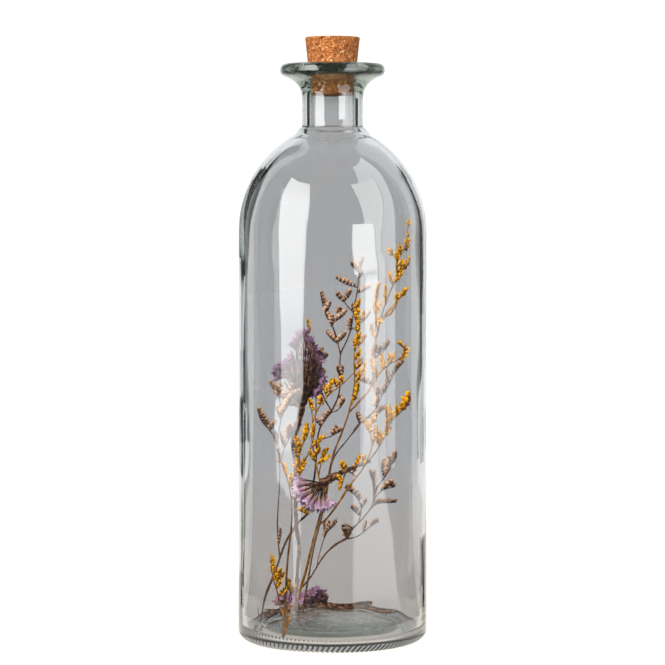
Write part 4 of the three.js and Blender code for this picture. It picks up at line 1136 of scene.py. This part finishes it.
skins = [frill(fan_root + 5.5 * fan_arms, fan_root + 13.5 * fan_arms - (0, 2, 0), 8, 2.4, 430)]
whole_piece("statice_hanging_head", "hanging_head", skins, lilac_finish)

# %% The statice on the floor
floor_left_route = [(33, 17, 8.4), (24.5, 14, 9.6), (17, 15, 10.4), (0, 17, 10.8), (-12, 15.5, 10.8),
                    (-20, 13.5, 10.6), (-28, 10.5, 10)]
skins = [winged_stem_skin(floor_left_route, 440, (0.55, 0.6, 0.45, 0.45, 0.5, 0.9, 1.5), 0.3)]
skins += bract_fan([(-28, 10.5, 10), (-32, 8, 9), (-36.5, 5, 7)], 1.4, 441)
skins += bract_fan([(-28, 10.5, 10), (-32, 12, 10), (-37, 12, 9)], 1.2, 446)
skins += bract_fan([(-28, 10.5, 10), (-30, 7, 10), (-33, 2, 9)], 1.2, 451)
whole_piece("statice_left_stem", "floor_left_stem", skins, brown_finish)

floor_left_head = [(-29, 17, 13), (-22, 20, 13.6), (-14, 22, 13.4)]
skins = [cups_along(floor_left_head, 14, 0.25, 0.85, 460),
         stem_skin(smooth_route(floor_left_head), (1.1, 0.7), 461)]
whole_piece("statice_left_head", "floor_left_head", skins, purple_finish)

floor_right_route = [(22.5, 28.5, 10.4), (20, 28.5, 10.2), (13.5, 28.5, 9.8), (5, 27.5, 9.7),
                     (-1.5, 26.5, 9.9), (-9, 26, 10.2)]
skins = [winged_stem_skin(floor_right_route, 470, (0.7, 0.55, 0.6, 0.8, 1.3, 1.2), 0.3)]
skins += [blade_skin([(20, 28.5, 10.2), (21.5, 27, 8.6), (23, 25, 7.6)], 0.7, 471)]
skins += bract_fan([(-9, 26, 10.2), (-11, 25, 11), (-13, 24, 12.5)], 1.2, 472)
skins += bract_fan([(-9, 26, 10.2), (-10, 23.5, 12.5), (-11, 22, 15)], 1.1, 477)
skins += bract_fan([(-1.5, 26.5, 9.9), (-3, 24, 12.5), (-5, 22.5, 15)], 1.1, 482)
whole_piece("statice_right_stem", "floor_right_stem", skins, brown_finish)

floor_right_head = [(-1, 29.5, 13.4), (-6, 30, 14.5), (-11, 28.5, 14.4)]
skins = [cups_along(floor_right_head, 14, 0.25, 0.85, 490),
         stem_skin(smooth_route(floor_right_head), (1.2, 0.7), 491)]
whole_piece("statice_right_head", "floor_right_head", skins, purple_finish)

# %% The scrap of stem on the floor
scrap_route = smooth_route([(-39.4, -4, 5.4), (-39.6, -6, 6), (-39.2, -8.5, 5.6)])
whole_piece("stem_scrap", "scrap", [stem_skin(scrap_route, (0.7, 0.5), 500)], brown_finish)

# %% [markdown]
# ## Floor, world and lights
#
# The bottle stands on a plain white floor under an even white sky, as in a studio. Glass shows only what it
# bends and mirrors, so it needs four more things. Dark cards to both sides behind it draw the thin dark
# lines along its edges. A grey screen, floor and ceiling on the viewer's side are what its inner faces
# mirror, because the bright room would lay a haze over the flowers. Tall soft lights to the left and right
# make the white stripes. Two soft lights shine on the cork and the flowers alone.
#
# The cards, the screen and the tall lights show only in reflections, so each can be set by itself, and from
# behind the bottle the view through it stays clear. The glass doesn't shade the flowers.

# %% The floor
floor_radius = 6.0


def make_floor():
    """A large flat disc at the height that the bottle stands on."""
    turns = np.linspace(0, 2 * np.pi, 96, endpoint=False)
    rim = np.column_stack([floor_radius * np.cos(turns), floor_radius * np.sin(turns), 0 * turns])
    mesh = bpy.data.meshes.new("floor")
    mesh.from_pydata(rim.tolist(), [], [list(range(len(rim)))])
    floor = bpy.data.objects.new("floor", mesh)
    bpy.context.scene.collection.objects.link(floor)
    paper = Finish("white paper", Roughness=0.9, Specular_IOR_Level=0.1, Emission_Strength=0.7)
    reach = paper.node("ShaderNodeVectorMath", {0: paper.place}, operation="LENGTH").outputs["Value"]
    reach = paper.total(reach, paper.product(paper.noise(3, 2.0), 0.1))
    tone = paper.ramp(reach, (0.1, rgb(255, 246, 237)), (0.45, rgb(254, 249, 243)),
                      (0.95, rgb(250, 250, 250)))
    paper.paint(Base_Color=tone, Emission_Color=tone)
    mesh.materials.append(paper.material)
    floor.visible_diffuse = False


make_floor()

# %% The sky
seen_sky = 1.2
lighting_sky = 0.5

world = bpy.data.worlds.new("even white sky")
bpy.context.scene.world = world
world.use_nodes = True
world.cycles.sampling_method = "NONE"
sky_nodes = world.node_tree.nodes
sky_links = world.node_tree.links
look = sky_nodes.new("ShaderNodeTexCoord").outputs["Generated"]
upward = sky_nodes.new("ShaderNodeSeparateXYZ")
sky_links.new(look, upward.inputs[0])
sky_ramp = sky_nodes.new("ShaderNodeValToRGB")
sky_links.new(upward.outputs["Z"], sky_ramp.inputs["Fac"])
low_sky, high_sky = sky_ramp.color_ramp.elements
low_sky.position, low_sky.color = 0.0, (0.96, 0.955, 0.95, 1)
high_sky.position, high_sky.color = 0.12, (0.985, 1.0, 1.015, 1)
sky_links.new(sky_ramp.outputs["Color"], sky_nodes["Background"].inputs["Color"])
sky_strength = sky_nodes.new("ShaderNodeMapRange")
sky_strength.inputs["To Min"].default_value = seen_sky
sky_strength.inputs["To Max"].default_value = lighting_sky
sky_links.new(sky_nodes.new("ShaderNodeLightPath").outputs["Is Diffuse Ray"], sky_strength.inputs["Value"])
sky_links.new(sky_strength.outputs[0], sky_nodes["Background"].inputs["Strength"])


# %% Dark cards
card_columns = 24
sheet_columns = 48


def even_glow(name, colour):
    """A finish that looks the same from everywhere, and shows only after at least one reflection."""
    glow = Finish(name, Base_Color=(0, 0, 0, 1), Specular_IOR_Level=0.0, Emission_Color=(*colour, 1),
                  Emission_Strength=1.0)
    glow.material.cycles.emission_sampling = "NONE"
    mirrored = glow.math("GREATER_THAN", glow.node("ShaderNodeLightPath").outputs["Glossy Depth"], 0.5)
    clear = glow.node("ShaderNodeBsdfTransparent").outputs[0]
    mixed = glow.node("ShaderNodeMixShader", {0: mirrored, 1: clear, 2: glow.shader.outputs[0]})
    glow.links.new(mixed.outputs[0], glow.output.inputs["Surface"])
    return glow.material


def bent_card(name, distance, azimuth, height):
    """A card from a grid of distances from the axis, azimuths and heights. It casts no shadow.

    An azimuth is in degrees, from the camera's side and positive to the right.
    """
    distance, azimuth, height = np.broadcast_arrays(distance, np.radians(azimuth), height)
    points = np.stack([distance * np.sin(azimuth), -distance * np.cos(azimuth), height], axis=-1)
    rows, columns = height.shape
    row, column = np.divmod(np.arange((rows - 1) * (columns - 1)), columns - 1)
    corner = row * columns + column
    faces = np.stack([corner, corner + 1, corner + columns + 1, corner + columns], axis=-1)
    mesh = bpy.data.meshes.new(name)
    mesh.from_pydata(points.reshape(-1, 3).tolist(), [], faces.tolist())
    card = bpy.data.objects.new(name, mesh)
    bpy.context.scene.collection.objects.link(card)
    card.visible_camera = card.visible_diffuse = card.visible_shadow = False
    return card


def dark_card(name, azimuths, low, high, shade, distance=0.12):
    """A card that stands upright round the bottle and shows only in the glass."""
    heights = np.array([[low], [high]])
    card = bent_card(name, distance, np.linspace(*azimuths, card_columns)[None, :], heights)
    card.data.materials.append(even_glow(name, rgb(*shade)))


def dark_sheet(name, reach, azimuths, height, shade):
    """A flat sector at a height, between two distances and two azimuths, for the glass alone."""
    distances = np.array(reach)[:, None]
    card = bent_card(name, distances, np.linspace(*azimuths, sheet_columns)[None, :], height)
    card.data.materials.append(even_glow(name, rgb(*shade)))


# %% Cards that shine
def light_card(name, rows, soft=0.06):
    """A bent card that shines and shows only in reflections.

    Each row is a distance from the axis, a height, the azimuths of its two edges and a strength, where 1 is
    as bright as white. Points between rows are blended evenly, and the strength fades at the edges.
    """
    steps = np.linspace(0, len(rows) - 1, 6 * len(rows))
    path = np.column_stack([np.interp(steps, range(len(rows)), column) for column in np.array(rows).T])
    distance, height, first, last, strength = path.T[..., None]
    share = np.linspace(0, 1, card_columns)[None, :]
    card = bent_card(name, distance, first * (1 - share) + last * share, height)
    card.visible_transmission = False
    shine = card.data.attributes.new("shine", "FLOAT", "POINT")
    shine.data.foreach_set("value", (strength * near(share, soft, 1 - soft, soft)).ravel())
    glow = Finish(name, Base_Color=(0, 0, 0, 1), Specular_IOR_Level=0.0, Emission_Color=(1, 1, 1, 1))
    glow.paint(Emission_Strength=glow.node("ShaderNodeAttribute", attribute_name="shine").outputs["Fac"])
    glow.material.cycles.emission_sampling = "NONE"
    card.data.materials.append(glow.material)


# %% Lights for the flowers
flowers_height = 0.12


def plant_light(name, azimuth, elevation, size, power):
    """A soft square of light, 1 m from the flowers and facing them. It shows in no reflection."""
    data = bpy.data.lights.new(name, "AREA")
    data.size, data.energy = size, power
    light = bpy.data.objects.new(name, data)
    rise, turn = math.radians(elevation), math.radians(azimuth)
    across, away = math.cos(rise) * math.sin(turn), -math.cos(rise) * math.cos(turn)
    light.location = (across, away, flowers_height + math.sin(rise))
    light.rotation_euler = (math.pi / 2 - rise, 0, turn)
    light.visible_camera = light.visible_transmission = light.visible_glossy = False
    bpy.context.scene.collection.objects.link(light)
    return light


# %% The cards in their places
screen_grey = (100, 100, 100)
dark_card("card_left_foot", (-128, -116), 0.001, 0.04, (66, 70, 66))
dark_card("card_left_low", (-127, -112), 0.04, 0.09, (95, 99, 95))
dark_card("card_left_mid", (-131, -112), 0.09, 0.14, (54, 58, 56))
dark_card("card_left", (-127, -112), 0.14, 0.19, (100, 104, 102))
dark_card("card_left_shoulder", (-140, -112), 0.19, 0.255, (20, 24, 22))
dark_card("card_right_foot", (112, 129), 0.001, 0.04, (74, 78, 74))
dark_card("card_right", (112, 126), 0.08, 0.16, (90, 94, 90))
dark_card("card_right_shoulder", (112, 128), 0.16, 0.26, (56, 60, 57))
dark_card("neck_card_left", (-134, -112), 0.255, 0.42, (30, 32, 30))
dark_card("neck_card_right", (112, 134), 0.255, 0.284, (30, 32, 30))
dark_card("front_screen", (-110, 110), 0.001, 7, screen_grey, 2.2)
dark_sheet("front_floor", (0.1, 2.2), (-110, 110), 0.002, screen_grey)
dark_sheet("ceiling", (0.01, 3.2), (-180, 180), 7.0, screen_grey)
light_card("stripe_left", [
    (0.65, 0.9, -76, -36, 10.2), (0.65, 0.7, -74, -31, 10.8), (0.65, 0.58, -74, -29, 12.6),
    (0.65, 0.47, -71, -28, 12.6), (0.65, 0.36, -68, -28, 12.6), (0.65, 0.2, -67, -30, 12.6),
    (0.65, 0.145, -66, -33, 11.4), (0.65, 0.122, -64, -34, 9.6), (0.65, 0.076, -64, -34, 9.6),
    (0.65, 0.07, -72, -38, 9), (0.65, 0.052, -74, -41, 9.6), (0.65, 0.036, -70, -50, 9),
    (0.65, 0.032, -70, -42, 6), (0.65, 0.012, -70, -42, 5.4), (0.6, 0.003, -50, -37, 4.2),
    (0.3, 0.003, -45, -36, 5.4), (0.14, 0.003, -44, -36, 3.6), (0.11, 0.003, -44, -36, 0)])
light_card("stripe_left_behind", [
    (0.7, 0.72, -80, -50, 3), (0.7, 0.5, -73, -42, 3), (0.7, 0.33, -73, -40, 3), (0.7, 0.19, -77, -40, 3),
    (0.7, 0.175, -77, -40, 3), (0.7, 0.16, -73, -40, 2.6), (0.7, 0.1, -73, -40, 2),
    (0.7, 0.003, -73, -40, 1.5)])
light_card("stripe_right_inner", [
    (0.75, 0.3, 23, 50, 12.5), (0.75, 0.187, 22, 52, 12.1), (0.75, 0.163, 25, 56, 12.1),
    (0.75, 0.1615, 25, 56, 7.5), (0.75, 0.158, 38, 56, 7.5), (0.75, 0.1565, 38, 56, 12.1),
    (0.75, 0.14, 38, 52, 12.1), (0.75, 0.06, 38, 53, 9.2), (0.75, 0.02, 34, 55, 6.3),
    (0.75, 0.003, 23, 60, 5.2), (0.4, 0.003, 22, 76, 4.1), (0.2, 0.003, 20, 78, 3.4),
    (0.11, 0.003, 20, 80, 0)])
light_card("stripe_right_middle", [
    (0.77, 1.05, 29, 75, 6.5), (0.77, 0.8, 32, 74, 6.5), (0.77, 0.6, 35, 71, 6.7), (0.77, 0.4, 37, 65, 7),
    (0.77, 0.22, 37, 60, 7), (0.77, 0.18, 37, 60, 7), (0.77, 0.168, 32, 66, 7), (0.77, 0.1, 32, 67, 6),
    (0.77, 0.02, 32, 67, 4.5), (0.77, 0.003, 32, 67, 4)], soft=0.03)
light_card("stripe_right_outer", [
    (0.8, 1.9, 53, 100, 5), (0.8, 1.0, 42, 95, 5), (0.8, 0.75, 40, 90, 5), (0.8, 0.4, 37, 83, 5),
    (0.8, 0.27, 36, 81, 5), (0.8, 0.1, 36, 81, 4.5), (0.8, 0.02, 36, 81, 3.5),
    (0.8, 0.003, 36, 80, 3)], soft=0.03)

# %% The lights in their places
plant_lights = [plant_light("key", -32, 38, 0.3, 19), plant_light("fill", 60, 15, 0.8, 6)]

lit = bpy.data.collections.new("lit by the plant lights")
for piece in bpy.context.scene.collection.objects:
    if piece.type == "MESH" and piece.name not in ("floor", "glass_bottle"):
        lit.objects.link(piece)
for light in plant_lights:
    light.light_linking.receiver_collection = lit
bottle.visible_shadow = False
bottle.visible_diffuse = False

# %% [markdown]
# ## Camera
#
# The camera stands a little above the bottle and far away, so the upright lines stay upright. Its lens is
# worked out from the real width of the view at the bottle.

# %% The camera
camera_place = np.array([0.0, -1.25, 0.236])
camera_aim = np.array([0.0, 0.0, 0.1552])
view_width = 0.3354
sensor_width = 36.0

camera_distance = float(np.linalg.norm(camera_aim - camera_place))
camera_data = bpy.data.cameras.new("camera")
camera_data.sensor_width = sensor_width
camera_data.lens = sensor_width * camera_distance / view_width
camera_data.clip_end = 100.0
camera = bpy.data.objects.new("camera", camera_data)
camera.location = camera_place
camera.rotation_euler = (math.pi / 2 - math.asin((camera_place[2] - camera_aim[2]) / camera_distance), 0, 0)
bpy.context.scene.collection.objects.link(camera)
bpy.context.scene.camera = camera
print("lens in mm:", round(camera_data.lens, 1))

# %% Light paths and colour
scene = bpy.context.scene
scene.view_settings.view_transform = "Standard"
light_bounces = 64
scene.cycles.max_bounces = light_bounces
scene.cycles.transmission_bounces = light_bounces
scene.cycles.glossy_bounces = light_bounces
scene.cycles.caustics_reflective = False
scene.cycles.caustics_refractive = False
